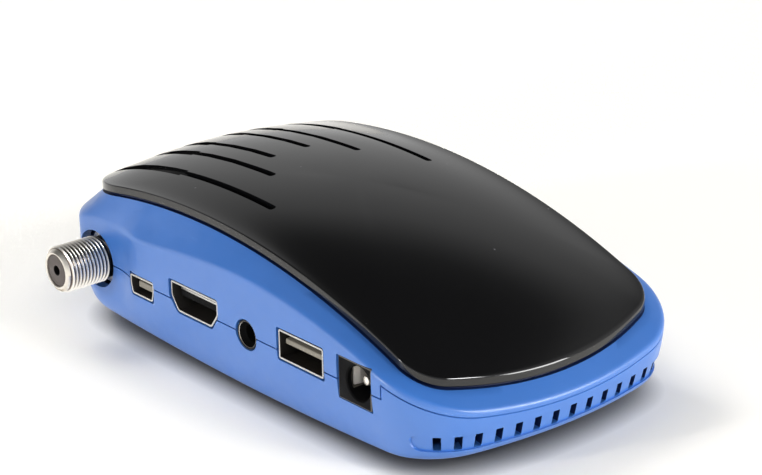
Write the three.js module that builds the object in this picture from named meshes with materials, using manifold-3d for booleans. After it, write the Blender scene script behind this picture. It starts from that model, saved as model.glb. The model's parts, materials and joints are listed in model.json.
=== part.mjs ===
// A palm-sized satellite receiver: a moulded case in two shells under a glossy domed cover, with
// its sockets, tuner, main board and screws. Millimetres, +Z up, vented end at +X, sockets at -Y.
// The origin is the middle of the footprint, on the surface that the feet stand on.

import * as THREE from 'three';
import { mergeVertices } from 'three/addons/utils/BufferGeometryUtils.js';
import Module from 'manifold-3d';

const wasm = await Module();
wasm.setup();

// Case, seen from above: bowed ends, straight sides and round corners
const caseLength = 122;
const caseWidth = 66;
const caseEndRadius = 92.8;
const caseFrontCorner = 15.3;
const caseRearCorner = 17;
const wall = 2;

// Cover, seen from above: it lies inside the case's outline
const coverMargin = 3.95;
const coverEndRadius = 69.5;
const coverFrontCorner = 8;
const coverRearCorner = 16;
const coverThickness = 1.6;
const coverEdgeRound = 0.4;
const coverGap = 0.3;

// Heights of the case above the table
const standHeight = 0.9;
const edgeHeight = 1.2;
const edgeSweep = 3.95;
const edgeRound = 1.2;
const edgeTuck = 0.25;
const baseMargin = 9.5;
const bulgeHeight = 16.5;
const bulgeRadius = 36;
const rimFrontHeight = 14.75;
const rimFall = 16.4;
const crownRise = 3.1;
const shoulderHeight = 5;
const creaseRound = 0.9;
const creaseTuck = 0.4;

// Seam between the two shells
const seamHeight = 14.5;
const seamGap = 0.3;
const seamDrop = 1.25;
const seamTuck = 1;
const lipHeight = 1;
const lipOuter = 1.15;

// Flat land that the aerial socket stands on
const landDepth = 1.4;
const landRamp = 5;

// Air slots in the cover, and the air strip round the vented end
const slotWidth = 1.6;
const slotGrooveWidth = 2.4;
const slotGrooveDepth = 0.9;
const deckWindowWidth = 2.4;
const stripBottom = 5.5;
const stripTop = 8.7;
const stripDepth = 0.4;
const ventCount = 15;
const ventPitch = 4.24;
const ventWidth = 1.2;
const ventHeight = 2.9;

// Clips under the cover
const clipLength = 4;
const clipThickness = 1.2;
const clipHook = 0.6;
const clipHookHeight = 1;

// Feet and screws
const footRadius = 4.5;
const footRecess = 0.8;
const caseScrewHeadRadius = 2.6;
const caseScrewHeadHeight = 1.8;
const caseScrewRadius = 1.3;
const caseScrewLength = 13.2;
const caseScrewSink = 2.3;
const bossRadius = 3.6;
const postRadius = 3;
const postHoleSpare = 0.8;
const boardScrewHeadRadius = 2.2;
const boardScrewHeadHeight = 1.4;
const boardScrewRadius = 1.1;
const boardScrewLength = 6;
const standoffRadius = 3;

// Main board
const boardHeight = 10;
const boardThickness = 1.6;
const boardMargin = 3;
const boardPostSpare = 0.4;

// Clearances and cutting overrun
const clearance = 0.3;
const seatGap = 0.05;
const overrun = 4;

// Aerial socket and tuner
const aerialReach = 8.3;
const aerialHoleRadius = 5.95;
const aerialThreadRadius = 4.75;
const aerialThreadDepth = 0.5;
const aerialThreadPitch = 1.2;
const aerialThreadTurns = 7;
const aerialLip = 0.8;
const aerialChamfer = 0.4;
const aerialFlangeRadius = 5.6;
const aerialFlangeThickness = 1.2;
const aerialNeckRadius = 2.6;
const aerialNeckLength = 1.2;
const aerialBoreRadius = 3.6;
const aerialSink = 0.5;
const aerialContactRadius = 0.55;
const aerialContactSink = 1.4;
const aerialContactLength = 15.8;
const tunerSetBack = 5.5;
const tunerEndGap = 11.5;
const tunerSideGap = 0.45;
const tunerDepth = 19;
const tunerHeight = 9;
const tunerWall = 0.6;
const tunerLidThickness = 0.5;

// Mini-USB socket: opening in the case, shell and tongue
const miniTopWidth = 8.28;
const miniBottomWidth = 7.05;
const miniHeight = 4.64;
const miniDepth = 9;
const miniSetBack = 0.4;
const miniTongueWidth = 4.6;
const miniTongueThickness = 1.3;

// HDMI socket
const hdmiTopWidth = 15.4;
const hdmiBottomWidth = 10.9;
const hdmiHeight = 6.5;
const hdmiLift = 0.85;
const hdmiDepth = 11;
const hdmiSetBack = 0.2;
const hdmiTongueWidth = 11.4;
const hdmiTongueThickness = 1.7;

// Audio-video jack
const avHeight = 14.5;
const avHoleRadius = 3.15;
const avSetBack = 0.2;
const avWidth = 7;
const avTall = 6;
const avDepth = 15;
const avBoreRadius = 1.9;
const avSleeveRadius = 2.2;
const avSleeveWall = 0.35;
const avSleeveLength = 2.8;
const avSpringThickness = 0.25;
const avSpringTall = 1.4;
const avTipSpringRoot = 13.2;
const avRingSpringRoot = 10.4;
const avSpringLength = 4.4;
const avSpringReach = 1.25;

// USB socket
const usbWidth = 13.45;
const usbHeight = 6.4;
const usbLift = 1.4;
const usbDepth = 14;
const usbSetBack = 0.15;
const usbTongueWidth = 11;
const usbTongueThickness = 1.7;
const usbTongueDrop = 0.85;
const usbTongueSetBack = 0.9;
const usbBlockDepth = 3.8;
const usbContactWidth = 0.9;
const usbContactThickness = 0.25;
const usbContactBump = 0.55;
const usbContactCount = 4;
const usbGrooveDepth = 0.55;

// Socket shells of folded sheet
const sheet = 0.35;
const footingWidth = 1.2;

// Power jack
const dcHeight = 15.2;
const dcWidth = 9.5;
const dcTall = 8.7;
const dcDepth = 14;
const dcSetBack = 0.25;
const dcFrontDepth = 2.4;
const dcMouthRadius = 3.3;
const dcMouthShift = 1;
const dcMouthDepth = 11;
const dcPinRadius = 1.05;
const dcPinSetBack = 1.8;
const dcPinLength = 11.8;
const dcLeafTall = 4;
const dcLeafThickness = 0.35;
const dcLeafSetBack = 1.9;
const dcLeafLength = 10;
const dcLeafOffset = 2.8;
const dcLeafRaise = 0.3;
const dcLeafTravel = 1.45;

// Parts on the board: width along X, depth along Y and height
const chipSize = { width: 17, depth: 17, height: 1.4 };
const padSize = { width: 15, depth: 15, height: 0.8 };
const sinkSize = { width: 25, depth: 25, height: 8 };
const sinkBase = 2;
const sinkFinCount = 7;
const sinkFinThickness = 1.2;
const memorySize = { width: 10, depth: 14, height: 1.2 };
const flashSize = { width: 8, depth: 6, height: 1.6 };
const crystalSize = { width: 5, depth: 3.2, height: 1.2 };
const regulatorSize = { width: 6, depth: 5, height: 1.6 };
const aerialRegulatorSize = { width: 6.5, depth: 6, height: 2.2 };
const powerCoilSize = { width: 8, depth: 8, height: 4.5 };
const aerialCoilSize = { width: 6, depth: 6, height: 3.5 };
const capacitorRadius = 3.15;
const capacitorHeight = 8;

// Places along the case as shares of half its length
const aerialPlaceShare = -0.723;
const miniPlaceShare = -0.441;
const hdmiPlaceShare = -0.157;
const avPlaceShare = 0.11;
const usbPlaceShare = 0.374;
const dcPlaceShare = 0.623;
const boardFrontShare = 0.705;
const stripStartShare = 0.8164;

// Places as shares of half the case's length and half its width
const caseScrewShares = [[0.77, -0.515], [0.77, 0.515], [-0.755, 0.5], [-0.787, -0.06]];
const footShares = [[0.59, -0.545], [0.59, 0.545], [-0.59, 0.545], [-0.59, -0.545]];
const boardScrewShares = [[0.56, 0.66], [-0.46, 0.66]];
const standoffShares = [[0.54, -0.6], [-0.46, -0.42]];
const clipShares = [[0.2, -0.75], [0.2, 0.75], [-0.6, 0.75], [-0.6, -0.75]];
const chipShare = [0, 0.15];
const memoryShare = [0.36, 0.24];
const flashShare = [-0.36, 0.36];
const crystalShare = [-0.3, -0.12];
const regulatorShare = [0.38, 0.6];
const aerialRegulatorShare = [-0.4, 0.02];
const aerialCoilShare = [-0.43, -0.24];
const powerCoilShare = [0.59, 0.24];
const capacitorShares = [[0.443, -0.394], [0.557, -0.364], [0.623, -0.182]];

// Cover slots: distance from the middle line as a share of half the width, then the front end,
// the end of the open stretch and the rear end as shares of half the length
const coverSlotShares = [
  { side: 0.591, front: -0.016, open: -0.525, rear: -0.86 },
  { side: 0.323, front: -0.2, open: -0.656, rear: -0.87 },
  { side: 0.132, front: -0.331, open: -0.705, rear: -0.88 },
];

// Drop from the cover's rim to the crease, as shares of the shoulder's height, by place along the case
const creaseDropShares = [
  [-1, 0.8], [-0.9, 0.93], [-0.74, 1.11], [-0.48, 1.37], [-0.36, 1.37], [-0.25, 1.25], [-0.1, 1.05],
  [0.1, 0.78], [0.3, 0.63], [0.48, 0.54], [0.66, 0.48], [0.76, 0.44], [0.88, 0.45], [0.95, 0.48], [1, 0.59],
];
const rimPeakShare = -0.215;
const edgeLowShare = 0.08;
const seamStepShare = 0.744;
const landEndShare = -0.59;
const crownRingShares = [0.94, 0.82, 0.62, 0.33];
const wallRingShares = [0.35, 0.7];
const crownPower = 8;

// Smoothness of round stretches
const endSteps = 2;
const cornerSteps = 5;
const sideSteps = 10;
const roundSteps = 16;
const boreSteps = 12;

// Sizes worked out from the ones above
const halfLength = caseLength / 2;
const halfWidth = caseWidth / 2;
const face = -halfWidth;
const boardTop = boardHeight + boardThickness;
const onBoard = boardTop + seatGap;
const coverReach = halfLength - coverMargin;
const coverHalfWidth = halfWidth - coverMargin;
const rimPeakHeight = rimFrontHeight + rimFall;
const rimPeakX = rimPeakShare * halfLength;
const rimSpan = coverReach - rimPeakX;
const rimArcRadius = (rimSpan ** 2 + rimFall ** 2) / (2 * rimFall);
const seamStepX = seamStepShare * halfLength;
const aerialX = aerialPlaceShare * halfLength;
const miniX = miniPlaceShare * halfLength;
const hdmiX = hdmiPlaceShare * halfLength;
const avX = avPlaceShare * halfLength;
const usbX = usbPlaceShare * halfLength;
const dcX = dcPlaceShare * halfLength;
const boardFrontX = boardFrontShare * halfLength;
const stripStartX = stripStartShare * halfLength;
const bossTop = boardHeight - 2 * clearance;

// Solids from three.js geometry

function solidOf(geometry) {
  const bare = geometry.clone();
  bare.deleteAttribute('normal');
  bare.deleteAttribute('uv');
  const merged = mergeVertices(bare);
  const vertProperties = new Float32Array(merged.attributes.position.array);
  const triVerts = new Uint32Array(merged.index.array);
  return new wasm.Manifold(new wasm.Mesh({ numProp: 3, vertProperties, triVerts }));
}

function geometryOf(solid) {
  const { vertProperties, triVerts } = solid.getMesh();
  const geometry = new THREE.BufferGeometry();
  geometry.setAttribute('position', new THREE.BufferAttribute(vertProperties, 3));
  geometry.setIndex(new THREE.BufferAttribute(triVerts, 1));
  geometry.computeVertexNormals();
  return geometry;
}

function join(...solids) {
  return solids.reduce((sum, solid) => sum.add(solid));
}

function cut(solid, ...tools) {
  return tools.reduce((rest, tool) => rest.subtract(tool), solid);
}

function block([xLow, xHigh], [yLow, yHigh], [zLow, zHigh]) {
  const geometry = new THREE.BoxGeometry(xHigh - xLow, yHigh - yLow, zHigh - zLow);
  geometry.translate((xLow + xHigh) / 2, (yLow + yHigh) / 2, (zLow + zHigh) / 2);
  return solidOf(geometry);
}

function around(middle, size) {
  return [middle - size / 2, middle + size / 2];
}

function upright(x, y, radius, [zLow, zHigh], steps = roundSteps) {
  const geometry = new THREE.CylinderGeometry(radius, radius, zHigh - zLow, steps);
  geometry.rotateX(Math.PI / 2);
  geometry.translate(x, y, (zLow + zHigh) / 2);
  return solidOf(geometry);
}

function lying(x, z, radius, [yLow, yHigh], steps = roundSteps) {
  const geometry = new THREE.CylinderGeometry(radius, radius, yHigh - yLow, steps);
  geometry.translate(x, (yLow + yHigh) / 2, z);
  return solidOf(geometry);
}

// A profile of [radius, y] turned about the line along Y through x and z
function turned(x, z, profile, steps = roundSteps) {
  const points = profile.map(([radius, y]) => new THREE.Vector2(radius, y));
  const geometry = new THREE.LatheGeometry(points, steps);
  geometry.translate(x, 0, z);
  return solidOf(geometry);
}

const planAxes = [[1, 0, 0], [0, 1, 0], [0, 0, 1]];
const sideAxes = [[1, 0, 0], [0, 0, 1], [0, -1, 0]];
const endAxes = [[0, 1, 0], [0, 0, 1], [1, 0, 0]];

// An outline extruded from low to high: the three axes say where its two directions and its depth point
function prism(axes, outline, low, high) {
  const shape = new THREE.Shape(outline.map(([across, up]) => new THREE.Vector2(across, up)));
  const geometry = new THREE.ExtrudeGeometry(shape, { depth: high - low, bevelEnabled: false });
  geometry.translate(0, 0, low);
  geometry.applyMatrix4(new THREE.Matrix4().makeBasis(...axes.map((axis) => new THREE.Vector3(...axis))));
  return solidOf(geometry);
}

// Outline of [x, y] extruded up from zLow to zHigh
function planPrism(outline, [zLow, zHigh]) {
  return prism(planAxes, outline, zLow, zHigh);
}

// Outline of [x, z] extruded along Y from yLow to yHigh
function sidePrism(outline, [yLow, yHigh]) {
  return prism(sideAxes, outline, -yHigh, -yLow);
}

// Outline of [y, z] extruded along X from xLow to xHigh
function endPrism(outline, [xLow, xHigh]) {
  return prism(endAxes, outline, xLow, xHigh);
}

// A skin over rings of points, closed at each end by a fan to one point. Each four-sided facet is
// split along its shorter diagonal, so two skins a small gap apart stay parallel.
function loft(rings, firstPoint, lastPoint) {
  const count = rings[0].length;
  const points = [firstPoint, ...rings.flat(), lastPoint];
  const at = (level, index) => 1 + level * count + (index % count);
  const faces = [];
  for (let index = 0; index < count; index += 1) {
    faces.push(0, at(0, index + 1), at(0, index));
    faces.push(points.length - 1, at(rings.length - 1, index), at(rings.length - 1, index + 1));
    for (let level = 0; level < rings.length - 1; level += 1) {
      const quad = [at(level, index), at(level, index + 1), at(level + 1, index + 1), at(level + 1, index)];
      const [a, b, c, d] = quad;
      const splitAtFirst = points[a].distanceTo(points[c]) < points[b].distanceTo(points[d]);
      faces.push(...(splitAtFirst ? [a, b, c, a, c, d] : [a, b, d, b, c, d]));
    }
  }
  const geometry = new THREE.BufferGeometry().setFromPoints(points);
  geometry.setIndex(faces);
  return solidOf(geometry);
}

// Case outline and heights

const casePlan = {
  reach: halfLength,
  halfWidth,
  endRadius: caseEndRadius,
  frontCorner: caseFrontCorner,
  rearCorner: caseRearCorner,
};
const coverPlan = {
  reach: coverReach,
  halfWidth: coverHalfWidth,
  endRadius: coverEndRadius,
  frontCorner: coverFrontCorner,
  rearCorner: coverRearCorner,
};

function arcPoint(x, y, radius, angle) {
  const nx = Math.cos(angle);
  const ny = Math.sin(angle);
  return { x: x + radius * nx, y: y + radius * ny, nx, ny };
}

function cornerOf(plan, radius) {
  const rise = plan.halfWidth - radius;
  const reachToCorner = plan.endRadius - radius;
  const x = plan.reach - plan.endRadius + Math.sqrt(reachToCorner ** 2 - rise ** 2);
  return { x, y: rise, turn: Math.asin(rise / reachToCorner) };
}

function quarterOutline(plan, radius) {
  const corner = cornerOf(plan, radius);
  const points = [];
  for (let step = 0; step < endSteps; step += 1) {
    const angle = corner.turn * step / endSteps;
    points.push(arcPoint(plan.reach - plan.endRadius, 0, plan.endRadius, angle));
  }
  for (let step = 0; step <= cornerSteps; step += 1) {
    const angle = THREE.MathUtils.lerp(corner.turn, Math.PI / 2, step / cornerSteps);
    points.push(arcPoint(corner.x, corner.y, radius, angle));
  }
  return points;
}

// The whole outline, anticlockwise from the vented end, with the outward direction at each point
function outlineOf(plan) {
  const front = quarterOutline(plan, plan.frontCorner);
  const rear = quarterOutline(plan, plan.rearCorner)
    .map((point) => ({ ...point, x: -point.x, nx: -point.nx }));
  const side = [];
  for (let step = 1; step < sideSteps; step += 1) {
    const x = THREE.MathUtils.lerp(front[front.length - 1].x, rear[rear.length - 1].x, step / sideSteps);
    side.push({ x, y: plan.halfWidth, nx: 0, ny: 1 });
  }
  const half = [...front, ...side, ...rear.reverse()];
  const mirrored = half.slice(1, -1).reverse().map((point) => ({ ...point, y: -point.y, ny: -point.ny }));
  return [...half, ...mirrored];
}

const caseOutline = outlineOf(casePlan);
const coverOutline = outlineOf(coverPlan);

function ring(outline, heightAt, insetAt) {
  return outline.map(({ x, y, nx, ny }) => {
    const z = heightAt(x);
    const inset = insetAt(z);
    return new THREE.Vector3(x - nx * inset, y - ny * inset, z);
  });
}

// A smooth curve through a table of [place, value]
function curveAt(table, place) {
  const last = table.length - 1;
  const bounded = THREE.MathUtils.clamp(place, table[0][0], table[last][0]);
  const after = Math.max(1, table.findIndex(([station]) => station >= bounded));
  const slopeAt = (index) => {
    const low = table[Math.max(index - 1, 0)];
    const high = table[Math.min(index + 1, last)];
    return (high[1] - low[1]) / (high[0] - low[0]);
  };
  const [startPlace, startValue] = table[after - 1];
  const [endPlace, endValue] = table[after];
  const span = endPlace - startPlace;
  const t = (bounded - startPlace) / span;
  const startPull = slopeAt(after - 1) * span;
  const endPull = slopeAt(after) * span;
  const bend = 2 * (startValue - endValue) + startPull + endPull;
  const lean = 3 * (endValue - startValue) - 2 * startPull - endPull;
  return startValue + t * (startPull + t * (lean + t * bend));
}

function rimHeight(x) {
  return rimPeakHeight - rimArcRadius + Math.sqrt(rimArcRadius ** 2 - (x - rimPeakX) ** 2);
}

function creaseHeight(x) {
  const share = x / halfLength;
  return rimHeight(share * coverReach) - shoulderHeight * curveAt(creaseDropShares, share);
}

function lowerEdgeHeight(x) {
  return edgeHeight + edgeSweep * (x / halfLength - edgeLowShare) ** 2;
}

function wallInset(z) {
  return Math.max(0, bulgeHeight - z) ** 2 / (2 * bulgeRadius);
}

// Height of the crown over the rim's arc, at a share of the way out to the rim
function crownHeight(share, x, y) {
  return rimHeight(x) + crownRise * (1 - share ** crownPower) * (1 - (y / coverHalfWidth) ** 2);
}

function crownRings(lift) {
  return crownRingShares.map((share) => coverOutline.map(({ x, y }) => {
    const z = crownHeight(share, share * x, share * y) + lift;
    return new THREE.Vector3(share * x, share * y, z);
  }));
}

// The crown's height at any place, found from how far out towards the rim it lies
function crownAt(x, y) {
  const share = Math.max(Math.abs(x) / coverReach, Math.abs(y) / coverHalfWidth);
  return crownHeight(share, x, y);
}

function landOutline(depth) {
  const start = landEndShare * halfLength;
  const outside = face - overrun;
  return [
    [-halfLength - overrun, outside],
    [start + landRamp, outside],
    [start + landRamp, face + depth],
    [start, face + landDepth + depth],
    [-halfLength - overrun, face + landDepth + depth],
  ];
}

// The case as one solid body, drawn in by a depth from its outer surface: no depth gives the
// outside, and a depth of one wall gives the hollow
function bodySolid(depth) {
  const edgeTop = (x) => lowerEdgeHeight(x) + edgeRound + depth;
  const creaseLow = (x) => creaseHeight(x) - creaseRound - depth / 2;
  const between = (share) => (x) => THREE.MathUtils.lerp(edgeTop(x), creaseLow(x), share);
  const fromWall = (z) => wallInset(z) + depth;
  const deckLift = -coverGap - depth;
  const rings = [
    ring(caseOutline, () => standHeight + depth, () => baseMargin),
    ring(caseOutline, (x) => lowerEdgeHeight(x) + depth, (z) => wallInset(z - depth) + edgeTuck + depth),
    ring(caseOutline, edgeTop, fromWall),
    ...wallRingShares.map((share) => ring(caseOutline, between(share), fromWall)),
    ring(caseOutline, creaseLow, fromWall),
    ring(caseOutline, (x) => creaseHeight(x) - depth / 3, () => creaseTuck + depth),
    ring(coverOutline, (x) => rimHeight(x) - coverGap - depth, () => depth / 2),
    ...crownRings(deckLift),
  ];
  const base = new THREE.Vector3(0, 0, standHeight + depth);
  const top = new THREE.Vector3(0, 0, crownHeight(0, 0, 0) + deckLift);
  const land = planPrism(landOutline(depth), [-overrun, rimPeakHeight + overrun]);
  return cut(loft(rings, base, top), land);
}

// Everything further in from the case's outline than an inset
function coreColumn(inset, zLow) {
  const outline = ring(caseOutline, () => 0, () => inset).map(({ x, y }) => [x, y]);
  return planPrism(outline, [zLow, rimPeakHeight + crownRise + overrun]);
}

// The upper shell's side of the seam, drawn back by a lift: all over the seam's line in side view,
// and over the board also all that lies further in than the wall
function seamRegion(lift) {
  const step = seamStepX - lift;
  const points = [
    [-halfLength - overrun, seamHeight + lift],
    [step, seamHeight + lift],
  ];
  for (let index = 0; index <= cornerSteps; index += 1) {
    const x = THREE.MathUtils.lerp(seamStepX, halfLength, index / cornerSteps);
    points.push([index === 0 ? step : x, creaseHeight(x) - seamDrop + lift]);
  }
  const end = points[points.length - 1];
  const top = rimPeakHeight + crownRise + overrun;
  points.push([halfLength + overrun, end[1]], [halfLength + overrun, top], [-halfLength - overrun, top]);
  const overSeam = sidePrism(points, [face - overrun, halfWidth + overrun]);
  return join(overSeam, coreColumn(wall + seamTuck + lift, seamHeight + lift));
}

function placeOf([xShare, yShare]) {
  return [xShare * halfLength, yShare * halfWidth];
}

// Openings for the sockets

const miniZ = onBoard + miniHeight / 2 - clearance;
const hdmiZ = onBoard + hdmiLift + hdmiHeight / 2 - clearance;
const usbZ = onBoard + usbLift + usbHeight / 2 - clearance;

// A socket's outline with upright sides above and drawn-in sides below
function wideTopOutline([x, z], topWidth, bottomWidth, height, shoulderShare) {
  const shoulder = z + height * (1 / 2 - shoulderShare);
  return [
    [x - bottomWidth / 2, z - height / 2],
    [x + bottomWidth / 2, z - height / 2],
    [x + topWidth / 2, shoulder],
    [x + topWidth / 2, z + height / 2],
    [x - topWidth / 2, z + height / 2],
    [x - topWidth / 2, shoulder],
  ];
}

// A convex outline with each of its sides moved outward by a distance
function standOff(outline, distance) {
  const corner = (index) => new THREE.Vector2(...outline[(index + outline.length) % outline.length]);
  return outline.map(([across, up], index) => {
    const before = corner(index).sub(corner(index - 1)).normalize();
    const after = corner(index + 1).sub(corner(index)).normalize();
    const outward = new THREE.Vector2(before.y + after.y, -before.x - after.x);
    const reach = 2 * distance / outward.lengthSq();
    return [across + outward.x * reach, up + outward.y * reach];
  });
}

const miniShoulderShare = 0.5;
const hdmiShoulderShare = 0.53;

const usbShoulderShare = 0.5;

const miniOutline = wideTopOutline(
  [miniX, miniZ],
  miniTopWidth,
  miniBottomWidth,
  miniHeight,
  miniShoulderShare,
);
const hdmiOutline = wideTopOutline(
  [hdmiX, hdmiZ],
  hdmiTopWidth,
  hdmiBottomWidth,
  hdmiHeight,
  hdmiShoulderShare,
);
const usbOutline = wideTopOutline([usbX, usbZ], usbWidth, usbWidth, usbHeight, usbShoulderShare);

function socketOpenings() {
  const through = (depth) => [face - overrun, face + depth + clearance];
  return [
    lying(aerialX, seamHeight, aerialHoleRadius, through(landDepth + overrun)),
    sidePrism(miniOutline, through(miniDepth)),
    sidePrism(hdmiOutline, through(hdmiDepth)),
    lying(avX, avHeight, avHoleRadius, through(overrun)),
    sidePrism(usbOutline, through(usbDepth)),
    block(around(dcX, dcWidth), through(dcDepth), around(dcHeight, dcTall)),
  ];
}

// Vents

// A point on the case's outline at a distance round from the middle of the vented end
function alongVentedEnd(distance) {
  const corner = cornerOf(casePlan, caseFrontCorner);
  const side = Math.sign(distance);
  const bow = corner.turn * caseEndRadius;
  const beyond = Math.abs(distance) - bow;
  const point = beyond > 0
    ? arcPoint(corner.x, corner.y, caseFrontCorner, corner.turn + beyond / caseFrontCorner)
    : arcPoint(halfLength - caseEndRadius, 0, caseEndRadius, Math.abs(distance) / caseEndRadius);
  return { x: point.x, y: side * point.y, angle: side * Math.atan2(point.ny, point.nx) };
}

// The air strip is what lies outside the wall's own surface, set in by the strip's depth
function stripCutter() {
  const slab = block(
    [stripStartX, halfLength + overrun],
    [face - overrun, halfWidth + overrun],
    [stripBottom, stripTop],
  );
  const middle = (stripBottom + stripTop) / 2;
  const levels = [stripBottom - overrun, stripBottom, middle, stripTop, stripTop + overrun];
  const rings = levels.map((level) => ring(caseOutline, () => level, (z) => wallInset(z) + stripDepth));
  const bottom = new THREE.Vector3(0, 0, levels[0]);
  const top = new THREE.Vector3(0, 0, levels[levels.length - 1]);
  return cut(slab, loft(rings, bottom, top));
}

function ventCutters() {
  const cutters = [];
  const middle = (ventCount - 1) / 2;
  for (let index = 0; index < ventCount; index += 1) {
    const { x, y, angle } = alongVentedEnd((index - middle) * ventPitch);
    const geometry = new THREE.BoxGeometry(2 * (wall + overrun / 2), ventWidth, ventHeight);
    geometry.rotateZ(angle);
    geometry.translate(x - Math.cos(angle) * wall, y - Math.sin(angle) * wall, (stripBottom + stripTop) / 2);
    cutters.push(solidOf(geometry));
  }
  return cutters;
}

function slotOutline(xLow, xHigh, y, width) {
  const radius = width / 2;
  const points = [];
  for (let step = 0; step <= cornerSteps; step += 1) {
    const angle = Math.PI * (step / cornerSteps - 1 / 2);
    points.push([xHigh - radius + radius * Math.cos(angle), y + radius * Math.sin(angle)]);
  }
  for (let step = 0; step <= cornerSteps; step += 1) {
    const angle = Math.PI * (step / cornerSteps + 1 / 2);
    points.push([xLow + radius + radius * Math.cos(angle), y + radius * Math.sin(angle)]);
  }
  return points;
}

// One function call for each of the six slots, with its places in millimetres
function eachCoverSlot(make) {
  return coverSlotShares.flatMap(({ side, front, open, rear }) => [-side, side].map((across) => make({
    y: across * halfWidth,
    front: front * halfLength,
    open: open * halfLength,
    rear: rear * halfLength,
  })));
}

function slotCutter({ y, front, open }, width) {
  return planPrism(slotOutline(open, front, y, width), [seamHeight, rimPeakHeight + crownRise + overrun]);
}

// The closed rear stretch of a cover slot, whose floor follows the cover's crown
function grooveCutter({ y, open, rear }) {
  const floor = [];
  const front = open + slotGrooveWidth;
  for (let step = 0; step <= cornerSteps; step += 1) {
    const x = THREE.MathUtils.lerp(rear, front, step / cornerSteps);
    floor.push([x, crownAt(x, y) + coverThickness - slotGrooveDepth]);
  }
  const top = rimPeakHeight + crownRise + overrun;
  const across = around(y, slotGrooveWidth);
  return sidePrism([...floor, [front, top], [rear, top]], across);
}

// Case screws and their bosses, feet and standoffs

const caseScrewPlaces = caseScrewShares.map(placeOf);
const footPlaces = footShares.map(placeOf);
const boardScrewPlaces = boardScrewShares.map(placeOf);
const standoffPlaces = standoffShares.map(placeOf);
const screwSeat = standHeight + caseScrewSink;
const screwTip = screwSeat + caseScrewLength;

function lowerShell() {
  const hollow = bodySolid(wall);
  const skin = bodySolid(0);
  const inside = bodySolid(wall / 2);
  const belowSeam = cut(skin, hollow, seamRegion(0));
  const lipBand = cut(seamRegion(-wall), seamRegion(lipHeight), coreColumn(wall + seamTuck, 0));
  const lip = cut(bodySolid(lipOuter), hollow).intersect(lipBand);
  const bosses = caseScrewPlaces.map(([x, y]) => upright(x, y, bossRadius, [0, bossTop]));
  const standoffs = [...boardScrewPlaces, ...standoffPlaces]
    .map(([x, y]) => upright(x, y, standoffRadius, [0, boardHeight - seatGap]));
  const columns = join(...bosses, ...standoffs).intersect(inside);
  const screwHoles = caseScrewPlaces.flatMap(([x, y]) => [
    upright(x, y, caseScrewRadius + clearance, [0, bossTop + overrun]),
    upright(x, y, caseScrewHeadRadius + clearance, [0, screwSeat]),
  ]);
  const boardScrewTip = boardTop - boardScrewLength;
  const boardHoles = boardScrewPlaces.map(([x, y]) => (
    upright(x, y, boardScrewRadius + clearance, [boardScrewTip - clearance, boardTop])
  ));
  const footHoles = footPlaces.map(([x, y]) => (
    upright(x, y, footRadius + clearance, [0, standHeight + footRecess])
  ));
  return cut(
    join(belowSeam, lip, columns),
    ...screwHoles,
    ...boardHoles,
    ...footHoles,
    ...socketOpenings(),
    stripCutter(),
    ...ventCutters(),
  );
}

const clipPlaces = clipShares.map(placeOf);

// A clip's sides, outward first: its leg, and the hook that reaches out under the deck
function clipSides([, y]) {
  const outward = Math.sign(y);
  const outer = y + outward * clipThickness / 2;
  const inner = y - outward * clipThickness / 2;
  const span = (a, b) => [Math.min(a, b), Math.max(a, b)];
  return { leg: span(inner, outer), hook: span(inner, outer + outward * clipHook) };
}

function deckUnderside([x, y]) {
  const lowest = Math.min(...around(x, clipLength).map((end) => crownAt(end, Math.abs(y) + clipThickness)));
  return lowest - coverGap - wall;
}

function upperShell() {
  const skin = cut(bodySolid(0), bodySolid(wall)).intersect(seamRegion(seamGap));
  const rebateBand = cut(seamRegion(-wall), seamRegion(lipHeight + seamGap), coreColumn(wall + seamTuck, 0));
  const rebate = bodySolid(lipOuter - clearance).intersect(rebateBand);
  const inside = bodySolid(wall / 2);
  const posts = caseScrewPlaces.map(([x, y]) => (
    upright(x, y, postRadius, [bossTop + clearance, rimPeakHeight]).intersect(inside)
  ));
  const postHoles = caseScrewPlaces.map(([x, y]) => (
    upright(x, y, caseScrewRadius + clearance, [bossTop, screwTip + postHoleSpare])
  ));
  const windows = eachCoverSlot((slot) => slotCutter(slot, deckWindowWidth));
  const clipHoles = clipPlaces.map(([x, y]) => block(
    around(x, clipLength + 2 * clearance),
    around(y, clipThickness + 2 * clearance),
    [seamHeight, rimPeakHeight + crownRise],
  ));
  return cut(
    join(cut(skin, rebate), ...posts),
    ...postHoles,
    ...socketOpenings(),
    ...windows,
    ...clipHoles,
  );
}

function topCover() {
  const underside = crownRings(0).reverse();
  const upperSide = crownRings(coverThickness);
  const rings = [
    ...underside,
    ring(coverOutline, rimHeight, () => 0),
    ring(coverOutline, (x) => rimHeight(x) + coverThickness - coverEdgeRound, () => 0),
    ring(coverOutline, (x) => rimHeight(x) + coverThickness, () => coverEdgeRound),
    ...upperSide,
  ];
  const middle = crownHeight(0, 0, 0);
  const plate = loft(
    rings,
    new THREE.Vector3(0, 0, middle),
    new THREE.Vector3(0, 0, middle + coverThickness),
  );
  const clips = clipPlaces.flatMap((place) => {
    const [x, y] = place;
    const { leg, hook } = clipSides(place);
    const hookTop = deckUnderside(place) - clearance;
    const along = around(x, clipLength);
    return [
      block(along, leg, [hookTop - clipHookHeight, crownAt(x, y) + coverThickness / 2]),
      block(along, hook, [hookTop - clipHookHeight, hookTop]),
    ];
  });
  const slots = eachCoverSlot((slot) => slotCutter(slot, slotWidth));
  const grooves = eachCoverSlot(grooveCutter);
  return cut(join(plate, ...clips), ...slots, ...grooves);
}

function foot([x, y]) {
  return upright(x, y, footRadius, [0, standHeight + footRecess - seatGap]);
}

function caseScrew([x, y]) {
  const headTop = screwSeat - seatGap;
  return join(
    upright(x, y, caseScrewHeadRadius, [headTop - caseScrewHeadHeight, headTop]),
    upright(x, y, caseScrewRadius, [headTop - caseScrewHeadHeight / 2, screwTip], boreSteps),
  );
}

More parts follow.
